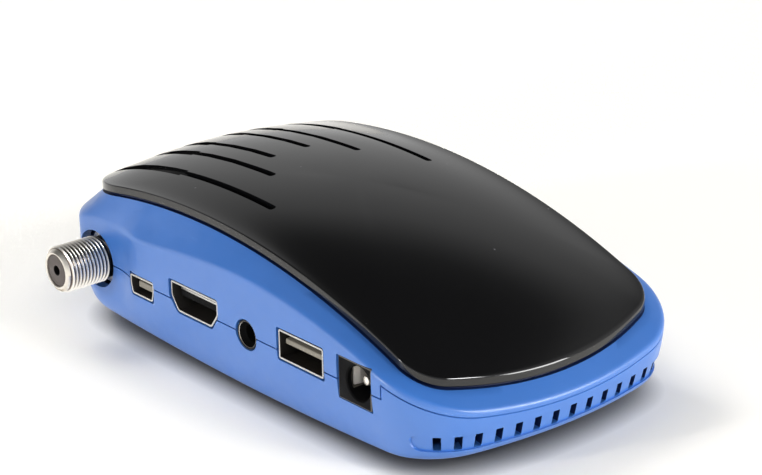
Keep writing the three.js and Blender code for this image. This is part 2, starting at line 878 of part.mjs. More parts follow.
function boardScrew([x, y]) {
  return join(
    upright(x, y, boardScrewHeadRadius, [onBoard, onBoard + boardScrewHeadHeight]),
    upright(x, y, boardScrewRadius, [boardTop - boardScrewLength, onBoard + seatGap], boreSteps),
  );
}

// Main board

function mainBoard() {
  const across = [boardHeight, boardTop];
  const outline = ring(caseOutline, () => boardHeight, (z) => wallInset(z) + boardMargin);
  const sheetSolid = planPrism(outline.map(({ x, y }) => [x, y]), across);
  const frontCut = block([boardFrontX, halfLength], [face, halfWidth], [0, boardTop + overrun]);
  const landCut = planPrism(landOutline(boardMargin + wallInset(boardHeight)), [0, boardTop + overrun]);
  const aerialNotch = block(
    around(aerialX, 2 * (aerialFlangeRadius + boardPostSpare)),
    [face, face + tunerSetBack],
    [0, boardTop + overrun],
  );
  const postHoles = caseScrewPlaces.map(([x, y]) => (
    upright(x, y, postRadius + boardPostSpare, [0, boardTop + overrun])
  ));
  const screwHoles = boardScrewPlaces.map(([x, y]) => (
    upright(x, y, boardScrewRadius + clearance, [0, boardTop + overrun])
  ));
  return cut(sheetSolid, frontCut, landCut, aerialNotch, ...postHoles, ...screwHoles);
}

// Aerial socket and tuner

const aerialTip = face - aerialReach;
const tunerFront = face + tunerSetBack;
const flangeBack = tunerFront - clearance;
const neckEnd = tunerFront + aerialNeckLength;

function aerialBody() {
  const valley = aerialThreadRadius - aerialThreadDepth;
  const neckBore = aerialContactRadius + 2 * clearance;
  const profile = [
    [aerialBoreRadius, aerialTip],
    [aerialThreadRadius - aerialChamfer, aerialTip],
    [aerialThreadRadius, aerialTip + aerialChamfer],
    [aerialThreadRadius, aerialTip + aerialLip],
  ];
  for (let turn = 0; turn < aerialThreadTurns; turn += 1) {
    const start = aerialTip + aerialLip + turn * aerialThreadPitch;
    profile.push([valley, start + aerialThreadPitch / 2], [aerialThreadRadius, start + aerialThreadPitch]);
  }
  profile.push(
    [aerialThreadRadius, flangeBack - aerialFlangeThickness],
    [aerialFlangeRadius, flangeBack - aerialFlangeThickness],
    [aerialFlangeRadius, flangeBack],
    [aerialNeckRadius, flangeBack],
    [aerialNeckRadius, neckEnd],
    [neckBore, neckEnd],
    [neckBore, flangeBack - aerialFlangeThickness],
    [aerialBoreRadius, flangeBack - aerialFlangeThickness],
    [aerialBoreRadius, aerialTip],
  );
  return turned(aerialX, seamHeight, profile);
}

function aerialInsulator() {
  const hole = aerialContactRadius + clearance;
  const outer = aerialBoreRadius - clearance;
  const start = aerialTip + aerialSink;
  const end = flangeBack - aerialFlangeThickness - clearance;
  const profile = [[hole, start], [outer, start], [outer, end], [hole, end], [hole, start]];
  return turned(aerialX, seamHeight, profile);
}

function aerialContact() {
  const start = aerialTip + aerialContactSink;
  return lying(aerialX, seamHeight, aerialContactRadius, [start, start + aerialContactLength], boreSteps);
}

const tunerLeft = tunerEndGap - halfLength;
const tunerRight = miniX - miniTopWidth / 2 - tunerSideGap;
const tunerY = tunerFront + tunerDepth / 2;

function tunerFrame() {
  const outer = block(
    [tunerLeft, tunerRight],
    around(tunerY, tunerDepth),
    [onBoard, onBoard + tunerHeight],
  );
  const inner = block(
    [tunerLeft + tunerWall, tunerRight - tunerWall],
    around(tunerY, tunerDepth - 2 * tunerWall),
    [0, onBoard + tunerHeight + overrun],
  );
  const neckHole = lying(aerialX, seamHeight, aerialNeckRadius + clearance, [tunerFront - overrun, tunerY]);
  return cut(outer, inner, neckHole);
}

function tunerLid() {
  const low = onBoard + tunerHeight + seatGap;
  return block([tunerLeft, tunerRight], around(tunerY, tunerDepth), [low, low + tunerLidThickness]);
}

// Mini-USB and HDMI sockets

function sheetShell(opening, setBack, depth) {
  const outer = sidePrism(standOff(opening, -clearance), [face + setBack, face + depth]);
  const inner = sidePrism(standOff(opening, -clearance - sheet), [face - overrun, face + depth + overrun]);
  return cut(outer, inner);
}

// Two strips of bent sheet that carry a lifted socket shell on the board
function footings(x, width, depth, shellBottom) {
  return [-1, 1].map((side) => {
    const inner = x + side * (width / 2 - footingWidth);
    const outer = x + side * width / 2;
    return block(
      [Math.min(inner, outer), Math.max(inner, outer)],
      [face + boardMargin + overrun, face + depth],
      [onBoard, shellBottom + sheet / 2],
    );
  });
}

const plugLeadShare = 0.1;
const backBlockShare = 0.25;

// A plastic tongue that stands forward from a block filling the back of a socket's shell
function socketTongue(opening, x, z, width, thickness, depth) {
  const backBlock = sidePrism(
    standOff(opening, -2 * clearance - sheet),
    [face + depth * (1 - backBlockShare), face + depth - clearance],
  );
  const tongue = block(
    around(x, width),
    [face + depth * plugLeadShare + clearance, face + depth * (1 - backBlockShare / 2)],
    around(z, thickness),
  );
  return join(backBlock, tongue);
}

function miniShell() {
  return sheetShell(miniOutline, miniSetBack, miniDepth);
}

function miniTongue() {
  return socketTongue(miniOutline, miniX, miniZ, miniTongueWidth, miniTongueThickness, miniDepth);
}

function hdmiShell() {
  const bottom = hdmiZ - hdmiHeight / 2 + clearance;
  const width = hdmiBottomWidth - 2 * clearance;
  return join(sheetShell(hdmiOutline, hdmiSetBack, hdmiDepth), ...footings(hdmiX, width, hdmiDepth, bottom));
}

const hdmiTongueRaiseShare = 0.12;

function hdmiTongue() {
  const z = hdmiZ + hdmiTongueRaiseShare * hdmiHeight;
  return socketTongue(hdmiOutline, hdmiX, z, hdmiTongueWidth, hdmiTongueThickness, hdmiDepth);
}

// Audio-video jack

const avBodyFront = face + boardMargin;

function avHousing() {
  const body = block(around(avX, avWidth), [avBodyFront, face + avDepth], [onBoard, onBoard + avTall]);
  const nose = lying(avX, avHeight, avHoleRadius - clearance, [face + avSetBack, avBodyFront + wall]);
  const bore = lying(avX, avHeight, avBoreRadius, [face - overrun, face + avTipSpringRoot], boreSteps);
  const sleeveEnd = face + avSetBack + 2 * clearance + avSleeveLength;
  const sleeveBore = lying(avX, avHeight, avSleeveRadius + clearance, [face - overrun, sleeveEnd]);
  const slots = [[-1, avTipSpringRoot], [1, avRingSpringRoot]].map(([side, root]) => block(
    side < 0 ? [avX - avWidth, avX] : [avX, avX + avWidth],
    [face + root - avSpringLength - clearance, face + root + clearance],
    around(avHeight, avSpringTall + 2 * clearance),
  ));
  return cut(join(body, nose), bore, sleeveBore, ...slots);
}

function avSleeve() {
  const start = face + avSetBack + clearance;
  const end = start + avSleeveLength;
  const inner = avSleeveRadius - avSleeveWall;
  const profile = [
    [inner, start],
    [avSleeveRadius, start],
    [avSleeveRadius, end],
    [inner, end],
    [inner, start],
  ];
  return turned(avX, avHeight, profile, boreSteps);
}

const avSpringShares = [[0, 0], [0.2, 0], [0.85, 1], [1, 0.55]];

// A bent leaf beside the bore: the shares give its way forward from the root and inward to the plug
function avSpring(side, root) {
  const outer = avWidth / 2 - clearance - avSpringThickness;
  const path = avSpringShares.map(([forward, inward]) => [
    avX + side * (outer - inward * avSpringReach),
    face + root - forward * avSpringLength,
  ]);
  const back = path.map(([x, y]) => [x - side * avSpringThickness, y]).reverse();
  return planPrism([...path, ...back], around(avHeight, avSpringTall));
}

// USB socket

function usbShell() {
  const bottom = usbZ - usbHeight / 2 + clearance;
  const width = usbWidth - 2 * clearance;
  return join(sheetShell(usbOutline, usbSetBack, usbDepth), ...footings(usbX, width, usbDepth, bottom));
}

const usbTongueTop = usbZ + usbHeight / 2 - clearance - sheet - usbTongueDrop;
const usbTongueBottom = usbTongueTop - usbTongueThickness;
const usbRoot = face + usbDepth - usbBlockDepth;
const usbContactZ = usbTongueBottom + usbGrooveDepth - clearance - usbContactThickness;
const usbContactFront = face + usbTongueSetBack + 2 * clearance;
const usbContactBack = face + usbDepth - 2 * clearance;
const usbContactNumbers = Array.from({ length: usbContactCount }, (_, index) => index);

function usbContactX(index) {
  const spacing = (usbTongueWidth - 2 * usbContactWidth) / (usbContactCount - 1);
  return usbX - usbTongueWidth / 2 + usbContactWidth + index * spacing;
}

function usbTongue() {
  const back = sidePrism(
    standOff(usbOutline, -2 * clearance - sheet),
    [usbRoot, face + usbDepth - clearance],
  );
  const tongue = block(
    around(usbX, usbTongueWidth),
    [face + usbTongueSetBack, usbRoot + overrun / 2],
    [usbTongueBottom, usbTongueTop],
  );
  const grooves = usbContactNumbers.map((index) => block(
    around(usbContactX(index), usbContactWidth + 2 * clearance),
    [usbContactFront - clearance, face + usbDepth + overrun],
    [usbContactZ - clearance, usbTongueBottom + usbGrooveDepth],
  ));
  return cut(join(back, tongue), ...grooves);
}

const usbBumpShares = [0.06, 0.16, 0.3];

// A spring strip under the tongue, with a bump near its front that the plug's pad slides on
function usbContact(index) {
  const along = (share) => THREE.MathUtils.lerp(usbContactFront, usbRoot, share);
  const [rise, peak, fall] = usbBumpShares.map(along);
  const low = usbContactZ;
  const outline = [
    [usbContactFront, low],
    [rise, low],
    [peak, low - usbContactBump],
    [fall, low],
    [usbContactBack, low],
    [usbContactBack, low + usbContactThickness],
    [fall, low + usbContactThickness],
    [peak, low + usbContactThickness - usbContactBump / 2],
    [rise, low + usbContactThickness],
    [usbContactFront, low + usbContactThickness],
  ];
  return endPrism(outline, around(usbContactX(index), usbContactWidth));
}

// Power jack

const dcMouthX = dcX + dcMouthShift;
const dcMouthZ = dcHeight + clearance;
const dcLeafZ = dcMouthZ + dcLeafRaise;
const dcLeafOuter = dcMouthX - dcLeafOffset - dcLeafThickness;

function dcHousing() {
  const width = dcWidth - 2 * clearance;
  const [low, high] = around(dcHeight, dcTall - 2 * clearance);
  const front = block(around(dcX, width), [face + dcSetBack, face + dcFrontDepth + clearance], [low, high]);
  const rear = block(around(dcX, width), [face + dcFrontDepth, face + dcDepth], [onBoard, high]);
  const mouth = lying(dcMouthX, dcMouthZ, dcMouthRadius, [face - overrun, face + dcMouthDepth]);
  const through = [face, face + dcDepth + overrun];
  const pinHole = lying(dcMouthX, dcMouthZ, dcPinRadius + clearance, through, boreSteps);
  const leafSlot = block(
    [dcLeafOuter - dcLeafTravel, dcMouthX - dcLeafOffset + clearance],
    [face + dcLeafSetBack - 2 * clearance, face + dcLeafSetBack + dcLeafLength + clearance],
    around(dcLeafZ, dcLeafTall + 2 * clearance),
  );
  return cut(join(front, rear), mouth, pinHole, leafSlot);
}

function dcPin() {
  const tip = face + dcPinSetBack;
  const profile = [
    [0, tip],
    [dcPinRadius - clearance, tip],
    [dcPinRadius, tip + clearance],
    [dcPinRadius, tip + dcPinLength],
    [0, tip + dcPinLength],
  ];
  return turned(dcMouthX, dcMouthZ, profile, boreSteps);
}

const dcLeafFlareShare = 0.12;

function dcLeaf() {
  const inner = dcMouthX - dcLeafOffset;
  const start = face + dcLeafSetBack;
  const flare = start + dcLeafFlareShare * dcLeafLength;
  const end = start + dcLeafLength;
  const outline = [
    [inner - dcLeafThickness, start],
    [inner, flare],
    [inner, end],
    [inner - dcLeafThickness, end],
    [inner - dcLeafThickness, flare],
    [inner - 2 * dcLeafThickness, start],
  ];
  return planPrism(outline, around(dcLeafZ, dcLeafTall));
}

// Parts on the board

function component(share, size, lift = 0) {
  const [x, y] = placeOf(share);
  const low = onBoard + lift;
  return block(around(x, size.width), around(y, size.depth), [low, low + size.height]);
}

const padLift = chipSize.height + seatGap;
const sinkLift = padLift + padSize.height + seatGap;

function heatSink() {
  const [x, y] = placeOf(chipShare);
  const low = onBoard + sinkLift;
  const fins = [];
  const pitch = (sinkSize.depth - sinkFinThickness) / (sinkFinCount - 1);
  for (let index = 0; index < sinkFinCount; index += 1) {
    const middle = y - (sinkSize.depth - sinkFinThickness) / 2 + index * pitch;
    const height = [low + sinkBase / 2, low + sinkSize.height];
    fins.push(block(around(x, sinkSize.width), around(middle, sinkFinThickness), height));
  }
  return join(component(chipShare, { ...sinkSize, height: sinkBase }, sinkLift), ...fins);
}

function capacitor(share) {
  const [x, y] = placeOf(share);
  return upright(x, y, capacitorRadius, [onBoard, onBoard + capacitorHeight]);
}

// Finishes

const finish = (color, roughness, metalness) => ({ color, roughness, metalness });
const bluePlastic = finish(0x5b8bd6, 0.45, 0);
const glossBlack = finish(0x141416, 0.08, 0);
const blackPlastic = finish(0x1b1b1d, 0.5, 0);
const greyPlastic = finish(0x6a6258, 0.5, 0);
const whitePlastic = finish(0xd8d4c8, 0.5, 0);
const rubber = finish(0x202020, 0.9, 0);
const nickel = finish(0xb9b5ac, 0.28, 1);
const steel = finish(0xc9c9c6, 0.3, 1);
const tin = finish(0xb4b6b6, 0.4, 1);
const gold = finish(0xc9a24a, 0.3, 1);
const boardGreen = finish(0x1d5a33, 0.5, 0);
const anodised = finish(0x2a2c30, 0.5, 0.8);

const receiver = new THREE.Group();
const inCase = new THREE.Group();
inCase.position.set(creaseTuck / 2, aerialReach / 2, 0);
receiver.add(inCase);

function add(name, solid, look) {
  const mesh = new THREE.Mesh(geometryOf(solid), new THREE.MeshStandardMaterial(look));
  mesh.name = name;
  inCase.add(mesh);
}

function addEach(name, places, make, look) {
  places.forEach((place, index) => add(`${name}_${index + 1}`, make(place), look));
}

add('lower_shell', lowerShell(), bluePlastic);
add('upper_shell', upperShell(), bluePlastic);
add('top_cover', topCover(), glossBlack);
addEach('foot', footPlaces, foot, rubber);
addEach('case_screw', caseScrewPlaces, caseScrew, steel);
add('main_board', mainBoard(), boardGreen);
addEach('board_screw', boardScrewPlaces, boardScrew, steel);
add('f_connector_body', aerialBody(), nickel);
add('f_connector_insulator', aerialInsulator(), greyPlastic);
add('f_connector_contact', aerialContact(), gold);
add('tuner_frame', tunerFrame(), tin);
add('tuner_lid', tunerLid(), tin);
add('mini_usb_shell', miniShell(), steel);
add('mini_usb_tongue', miniTongue(), whitePlastic);
add('hdmi_shell', hdmiShell(), steel);
add('hdmi_tongue', hdmiTongue(), blackPlastic);
add('av_jack_housing', avHousing(), blackPlastic);
add('av_sleeve_contact', avSleeve(), nickel);
add('av_tip_spring', avSpring(-1, avTipSpringRoot), nickel);
add('av_ring_spring', avSpring(1, avRingSpringRoot), nickel);
add('usb_shell', usbShell(), steel);
add('usb_tongue', usbTongue(), whitePlastic);
addEach('usb_contact', usbContactNumbers, usbContact, gold);
add('dc_jack_housing', dcHousing(), greyPlastic);
add('dc_centre_pin', dcPin(), nickel);
add('dc_leaf_spring', dcLeaf(), nickel);
add('main_processor', component(chipShare, chipSize), blackPlastic);
add('thermal_pad', component(chipShare, padSize, padLift), whitePlastic);
add('heat_sink', heatSink(), anodised);
add('memory_chip', component(memoryShare, memorySize), blackPlastic);
add('flash_chip', component(flashShare, flashSize), blackPlastic);
add('crystal', component(crystalShare, crystalSize), steel);
add('core_regulator', component(regulatorShare, regulatorSize), blackPlastic);
add('aerial_regulator', component(aerialRegulatorShare, aerialRegulatorSize), blackPlastic);
add('power_inductor', component(powerCoilShare, powerCoilSize), blackPlastic);
add('aerial_inductor', component(aerialCoilShare, aerialCoilSize), blackPlastic);
addEach('capacitor', capacitorShares, capacitor, tin);

export default receiver;
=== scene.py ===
# %% [markdown]
# # Dressing a small satellite receiver
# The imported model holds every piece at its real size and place. This lesson puts the looks round it:
# a blue moulded case in two shells, a glossy black cover with air slots, and the sockets along one
# long side. Each step first says what the piece is on the real object, then how it is made here.

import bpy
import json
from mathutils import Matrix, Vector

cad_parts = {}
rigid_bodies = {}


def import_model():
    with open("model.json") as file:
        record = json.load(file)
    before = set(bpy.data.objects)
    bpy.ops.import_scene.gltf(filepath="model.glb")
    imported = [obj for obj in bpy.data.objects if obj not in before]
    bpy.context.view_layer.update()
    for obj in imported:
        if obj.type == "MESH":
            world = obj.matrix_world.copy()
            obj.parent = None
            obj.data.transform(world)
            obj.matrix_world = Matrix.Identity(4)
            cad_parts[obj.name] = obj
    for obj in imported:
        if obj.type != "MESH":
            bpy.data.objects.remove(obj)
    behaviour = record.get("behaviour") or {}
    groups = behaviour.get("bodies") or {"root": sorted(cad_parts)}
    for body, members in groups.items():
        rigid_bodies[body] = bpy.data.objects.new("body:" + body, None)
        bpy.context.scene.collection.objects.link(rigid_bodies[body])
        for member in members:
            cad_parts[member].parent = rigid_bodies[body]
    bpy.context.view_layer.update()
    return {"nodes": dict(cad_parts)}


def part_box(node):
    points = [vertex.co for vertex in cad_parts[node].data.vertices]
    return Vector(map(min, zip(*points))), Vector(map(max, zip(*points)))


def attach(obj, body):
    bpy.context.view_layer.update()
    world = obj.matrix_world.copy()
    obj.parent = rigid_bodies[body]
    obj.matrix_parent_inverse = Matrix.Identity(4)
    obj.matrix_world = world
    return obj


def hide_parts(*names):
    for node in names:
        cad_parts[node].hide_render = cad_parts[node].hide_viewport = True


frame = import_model()

# %% Units and the few modules that the steps share
import json
import math

import bmesh
import bpy
from mathutils import Matrix, Vector
from mathutils.bvhtree import BVHTree
from mathutils.interpolate import poly_3d_calc
from mathutils.kdtree import KDTree

MM = 0.001
BODY = "receiver"


def millimetres(vector):
    return [value / MM for value in vector]


def box_of(node):
    """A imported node's lowest and highest corner, in millimetres."""
    low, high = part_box(node)
    return millimetres(low), millimetres(high)


def middle_of(node):
    low, high = box_of(node)
    return [(a + b) / 2 for a, b in zip(low, high)]


print("middle of the USB shell, mm:", middle_of("usb_shell"))

# %% [markdown]
# ## The camera
# The photograph looks down at the corner between the sockets and the air vents from about half a
# metre away. A camera is three directions and a place: which way is right, up and back. Building the
# turn from those three directions is more exact than aiming with a constraint, and it lets the
# picture's slight tilt be set as one angle.

# %% Camera at the photograph's viewing angle
CAMERA_AZIMUTH = math.radians(50.1)
CAMERA_ELEVATION = math.radians(21.33)
CAMERA_ROLL = math.radians(-1.11)
CAMERA_DISTANCE = 480.87
CAMERA_TARGET = Vector((5.1, 5.75, 24.17))
CAMERA_LENS = 118.16

back = Vector((
    math.sin(CAMERA_AZIMUTH) * math.cos(CAMERA_ELEVATION),
    -math.cos(CAMERA_AZIMUTH) * math.cos(CAMERA_ELEVATION),
    math.sin(CAMERA_ELEVATION),
))
level_right = Vector((0, 0, 1)).cross(back).normalized()
level_up = back.cross(level_right)
right = level_right * math.cos(CAMERA_ROLL) + level_up * math.sin(CAMERA_ROLL)
up = level_up * math.cos(CAMERA_ROLL) - level_right * math.sin(CAMERA_ROLL)

bpy.ops.object.camera_add()
camera = bpy.context.active_object
camera.data.lens = CAMERA_LENS
camera.data.clip_start = 0.01
turn = Matrix((right, up, back)).transposed().to_4x4()
camera.matrix_world = Matrix.Translation((CAMERA_TARGET + back * CAMERA_DISTANCE) * MM) @ turn
bpy.context.scene.camera = camera
print("camera stands at", camera.location)

# %% [markdown]
# ## Tools for modelling by hand
# Every piece starts as a primitive or as a flat plate, goes through a few edit mode operators, and is
# cut and joined with modifiers. Operators act on whatever is selected, so each helper first selects
# exactly one piece. When a piece is placed, its place is applied to its mesh, so that its object sits
# at the origin.

# %% Select one piece, apply its place, apply a modifier
def only(piece):
    """Leave edit mode and select this piece alone."""
    if bpy.context.object and bpy.context.object.mode == "EDIT":
        bpy.ops.object.mode_set(mode="OBJECT")
    bpy.ops.object.select_all(action="DESELECT")
    piece.select_set(True)
    bpy.context.view_layer.objects.active = piece
    return piece


def settle(piece):
    """Move a piece's place, turn and size into its mesh."""
    only(piece)
    bpy.ops.object.transform_apply(location=True, rotation=True, scale=True)
    return piece


def apply_modifier(piece, kind, **settings):
    only(piece)
    modifier = piece.modifiers.new(kind.lower(), kind)
    for setting, value in settings.items():
        setattr(modifier, setting, value)
    bpy.ops.object.modifier_apply(modifier=modifier.name)
    return piece


def joined(pieces):
    """Several pieces become one object, and stay separate solids in it."""
    if len(pieces) == 1:
        return pieces[0]
    only(pieces[0])
    for piece in pieces:
        piece.select_set(True)
    bpy.ops.object.join()
    return bpy.context.active_object


# %% Cut away, add, keep what two pieces share, and copy
def combine(piece, tool, operation):
    apply_modifier(piece, "BOOLEAN", operation=operation, object=tool, solver="MANIFOLD")
    bpy.data.meshes.remove(tool.data)
    return piece


def cut(piece, *tools):
    for tool in tools:
        combine(piece, tool, "DIFFERENCE")
    return piece


def add(piece, *others):
    for other in others:
        combine(piece, other, "UNION")
    return piece


def keep_inside(piece, region):
    return combine(piece, region, "INTERSECT")


def copy_of(piece, shift=(0, 0, 0)):
    twin = piece.copy()
    twin.data = piece.data.copy()
    bpy.context.scene.collection.objects.link(twin)
    twin.data.transform(Matrix.Translation(Vector(shift) * MM))
    return twin


# %% Blocks, rods, and plates pushed out to a depth
def block(low, high):
    centre = [(a + b) / 2 * MM for a, b in zip(low, high)]
    size = [(b - a) * MM for a, b in zip(low, high)]
    bpy.ops.mesh.primitive_cube_add(size=1, location=centre, scale=size)
    return settle(bpy.context.active_object)


def rod(axis, centre, radius, start, end, steps=48):
    """A cylinder along Y or Z, round a centre line given by its two other places."""
    middle = (start + end) / 2
    place, turn = {
        "Y": ((centre[0], middle, centre[1]), (math.pi / 2, 0, 0)),
        "Z": ((centre[0], centre[1], middle), (0, 0, 0)),
    }[axis]
    bpy.ops.mesh.primitive_cylinder_add(
        vertices=steps, radius=radius * MM, depth=(end - start) * MM,
        location=[value * MM for value in place], rotation=turn,
    )
    return settle(bpy.context.active_object)


def plate(points):
    """A flat face with the given corners, shaped from a circle primitive."""
    bpy.ops.mesh.primitive_circle_add(vertices=len(points), fill_type="NGON")
    piece = bpy.context.active_object
    for vertex, point in zip(piece.data.vertices, points):
        vertex.co = Vector(point) * MM
    return piece


def face_outward(piece):
    only(piece)
    bpy.ops.object.mode_set(mode="EDIT")
    bpy.ops.mesh.select_all(action="SELECT")
    bpy.ops.mesh.remove_doubles(threshold=0.00001)
    bpy.ops.mesh.normals_make_consistent(inside=False)
    bpy.ops.object.mode_set(mode="OBJECT")
    return piece


def prism(points, reach):
    """A plate pushed out along a direction to make a solid."""
    piece = only(plate(points))
    bpy.ops.object.mode_set(mode="EDIT")
    bpy.ops.mesh.select_all(action="SELECT")
    bpy.ops.mesh.extrude_region_move(TRANSFORM_OT_translate={"value": Vector(reach) * MM})
    return face_outward(piece)


def upward_prism(outline, low, high):
    return prism([(x, y, low) for x, y in outline], (0, 0, high - low))


def sideways_prism(outline, low, high):
    return prism([(x, low, z) for x, z in outline], (0, high - low, 0))


# %% A skin raised ring by ring
def skin(rings, pole=None):
    """A plate shaped to the first ring and extruded once for each further ring."""
    piece = only(plate(rings[0]))
    place = piece.data.attributes.new("place", "INT", "POINT")
    place.data.foreach_set("value", range(len(rings[0])))
    bpy.ops.object.mode_set(mode="EDIT")
    bpy.ops.mesh.select_all(action="SELECT")
    for ring in rings[1:]:
        bpy.ops.mesh.extrude_region_move()
        shape = bmesh.from_edit_mesh(piece.data)
        index = shape.verts.layers.int["place"]
        for vertex in shape.verts:
            if vertex.select:
                vertex.co = Vector(ring[vertex[index]]) * MM
        bmesh.update_edit_mesh(piece.data)
    if pole:
        bpy.ops.mesh.poke()
        shape = bmesh.from_edit_mesh(piece.data)
        tip = max(shape.verts, key=lambda vertex: vertex.index)
        tip.co = Vector(pole) * MM
        bmesh.update_edit_mesh(piece.data)
    bpy.ops.object.mode_set(mode="OBJECT")
    piece.data.attributes.remove(piece.data.attributes["place"])
    return face_outward(piece)


# %% A profile turned on a lathe, rounded edges and smooth shading
AXIS_GAP = 0.02


def turned(profile, centre, steps=96):
    """A closed profile of (radius, y) turned about the line along Y through centre's x and z.

    A solid without a bore starts AXIS_GAP from the line, so that no two of its faces fold together.
    """
    x, z = centre
    piece = only(plate([(x + radius, y, z) for radius, y in profile]))
    bpy.ops.object.mode_set(mode="EDIT")
    bpy.ops.mesh.select_all(action="SELECT")
    bpy.ops.mesh.delete(type="ONLY_FACE")
    bpy.ops.mesh.select_all(action="SELECT")
    bpy.ops.mesh.spin(
        steps=steps, angle=2 * math.pi, center=(x * MM, 0, z * MM), axis=(0, 1, 0),
    )
    bpy.ops.mesh.select_all(action="SELECT")
    bpy.ops.mesh.dissolve_degenerate(threshold=0.000001)
    return face_outward(piece)


def bevelled(piece, width, segments=2, angle=40):
    return apply_modifier(
        piece, "BEVEL", width=width * MM, segments=segments, limit_method="ANGLE",
        angle_limit=math.radians(angle), use_clamp_overlap=True,
    )


def smoothed(piece, angle=32):
    only(piece)
    bpy.ops.object.shade_smooth_by_angle(angle=math.radians(angle))
    return piece


# %% Hand a finished piece over: its name, finish, body and the nodes that it stands for
def hand_over(piece, name, finish, slot, *nodes, body=BODY):
    settle(piece)
    piece.name = name
    piece.data.name = name
    piece.data.materials.clear()
    piece.data.materials.append(finish)
    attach(piece, body)
    if nodes:
        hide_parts(*nodes)
    print(f"{name}: {len(piece.data.polygons)} faces, stands for {nodes or 'a detail'}")
    return piece


# %% [markdown]
# ## The finishes
# A moulded or plated surface is never one flat colour. Each finish below starts from a shader with its
# plain numbers, then noise read from Object coordinates varies the colour and the roughness a little,
# and a much finer noise becomes a bump. Object coordinates are in metres, so a noise scale of 1000
# has features about a millimetre wide.

# %% Helpers for finishes
def paint(red, green, blue):
    """A colour as it shows on a screen, 0 to 255, as the shader's linear numbers."""
    def linear(value):
        share = value / 255
        return share / 12.92 if share <= 0.04045 else ((share + 0.055) / 1.055) ** 2.4
    return (linear(red), linear(green), linear(blue), 1)


def tinted(color, share):
    return tuple(min(1, value * share) for value in color[:3]) + (1,)


def new_finish(name):
    finish = bpy.data.materials.new(name)
    finish.use_nodes = True
    tree = finish.node_tree
    return finish, tree, tree.nodes["Principled BSDF"]


def object_place(tree, stretch=(1, 1, 1)):
    place = tree.nodes.new("ShaderNodeTexCoord")
    mapping = tree.nodes.new("ShaderNodeMapping")
    mapping.inputs["Scale"].default_value = stretch
    tree.links.new(place.outputs["Object"], mapping.inputs["Vector"])
    return mapping.outputs["Vector"]


# %% Noise, ranges and mixed colours
def noise(tree, place, size, detail=2.0):
    """Noise whose features are about size millimetres wide."""
    texture = tree.nodes.new("ShaderNodeTexNoise")
    texture.inputs["Scale"].default_value = 1 / (size * MM)
    texture.inputs["Detail"].default_value = detail
    tree.links.new(place, texture.inputs["Vector"])
    return texture.outputs["Fac"]


NOISE_LOW, NOISE_HIGH = 0.3, 0.7


def spread(tree, value, low, high):
    """The stretch in which noise mostly lies, mapped to low..high."""
    node = tree.nodes.new("ShaderNodeMapRange")
    node.inputs["From Min"].default_value = NOISE_LOW
    node.inputs["From Max"].default_value = NOISE_HIGH
    node.inputs["To Min"].default_value = low
    node.inputs["To Max"].default_value = high
    tree.links.new(value, node.inputs["Value"])
    return node.outputs["Result"]


def two_colors(tree, value, first, second):
    mix = tree.nodes.new("ShaderNodeMix")
    mix.data_type = "RGBA"
    mix.inputs["A"].default_value = first
    mix.inputs["B"].default_value = second
    tree.links.new(value, mix.inputs["Factor"])
    return mix.outputs["Result"]


def add_bump(tree, shader, height, depth):
    """Relief of the given depth in millimetres."""
    bump = tree.nodes.new("ShaderNodeBump")
    bump.inputs["Strength"].default_value = 1.0
    bump.inputs["Distance"].default_value = depth * MM
    tree.links.new(height, bump.inputs["Height"])
    tree.links.new(bump.outputs["Normal"], shader.inputs["Normal"])


# %% One finish from its plain numbers
def surface(name, color, roughness, metallic=0.0, mottle=0.05, patch=8, grain=0.25, relief=0.004,
            roughness_spread=0.05, stretch=(1, 1, 1)):
    """A finish with mottled colour, uneven gloss and a fine grain; patch and grain in millimetres."""
    finish, tree, shader = new_finish(name)
    place = object_place(tree, stretch)
    patches = spread(tree, noise(tree, place, patch, 3.0), 0, 1)
    color_node = two_colors(tree, patches, tinted(color, 1 - mottle), tinted(color, 1 + mottle))
    tree.links.new(color_node, shader.inputs["Base Color"])
    low, high = roughness - roughness_spread, roughness + roughness_spread
    gloss = spread(tree, noise(tree, place, patch / 3, 3.0), low, high)
    tree.links.new(gloss, shader.inputs["Roughness"])
    add_bump(tree, shader, noise(tree, place, grain, 2.0), relief)
    shader.inputs["Metallic"].default_value = metallic
    return finish


# %% [markdown]
# ### Plastics
# The case is blue ABS, coloured in the melt, with a fine satin texture from the mould. The cover is
# the same plastic in black with a mirror-smooth mould, so its roughness is low and its bump is almost
# nothing: what is left is the slow waviness that every moulded gloss surface has, and a few specks
# of dust. The sockets' inner parts are plain black, white or grey plastic. Hardly any light reaches
# into a socket, so their colours are set darker than the plastics are by daylight, as painted shade,
# and blue plastic that lies in a narrow slot gets a dark blue of its own, also painted shade.

# %% Plastic finishes
def set_sheen(finish, level):
    """How strongly a plastic mirrors; 0.5 is the shader's own value for plastic."""
    shader = finish.node_tree.nodes["Principled BSDF"]
    shader.inputs["Specular IOR Level"].default_value = level


blue_plastic = surface("blue_satin_plastic", paint(61, 117, 198), 0.36, mottle=0.02, grain=0.12,
                       relief=0.003)
set_sheen(blue_plastic, 1.0)
# Painted shade: dark blue for the plastic deep in the vent slots and under the cover's rim.
painted_shade_blue = surface("blue_plastic_painted_shade", paint(14, 32, 76), 0.5)
black_plastic = surface("black_moulded_plastic", paint(26, 26, 28), 0.45)
# White plastic painted darker as painted shade inside the sockets.
tongue_plastic = surface("white_plastic_painted_shade", paint(142, 136, 124), 0.5, mottle=0.04, patch=3)
insulator_plastic = surface("grey_insulator_plastic", paint(84, 76, 73), 0.5, mottle=0.05, patch=3)
jack_plastic = surface("dark_grey_jack_plastic", paint(106, 101, 93), 0.5, mottle=0.05, patch=3)
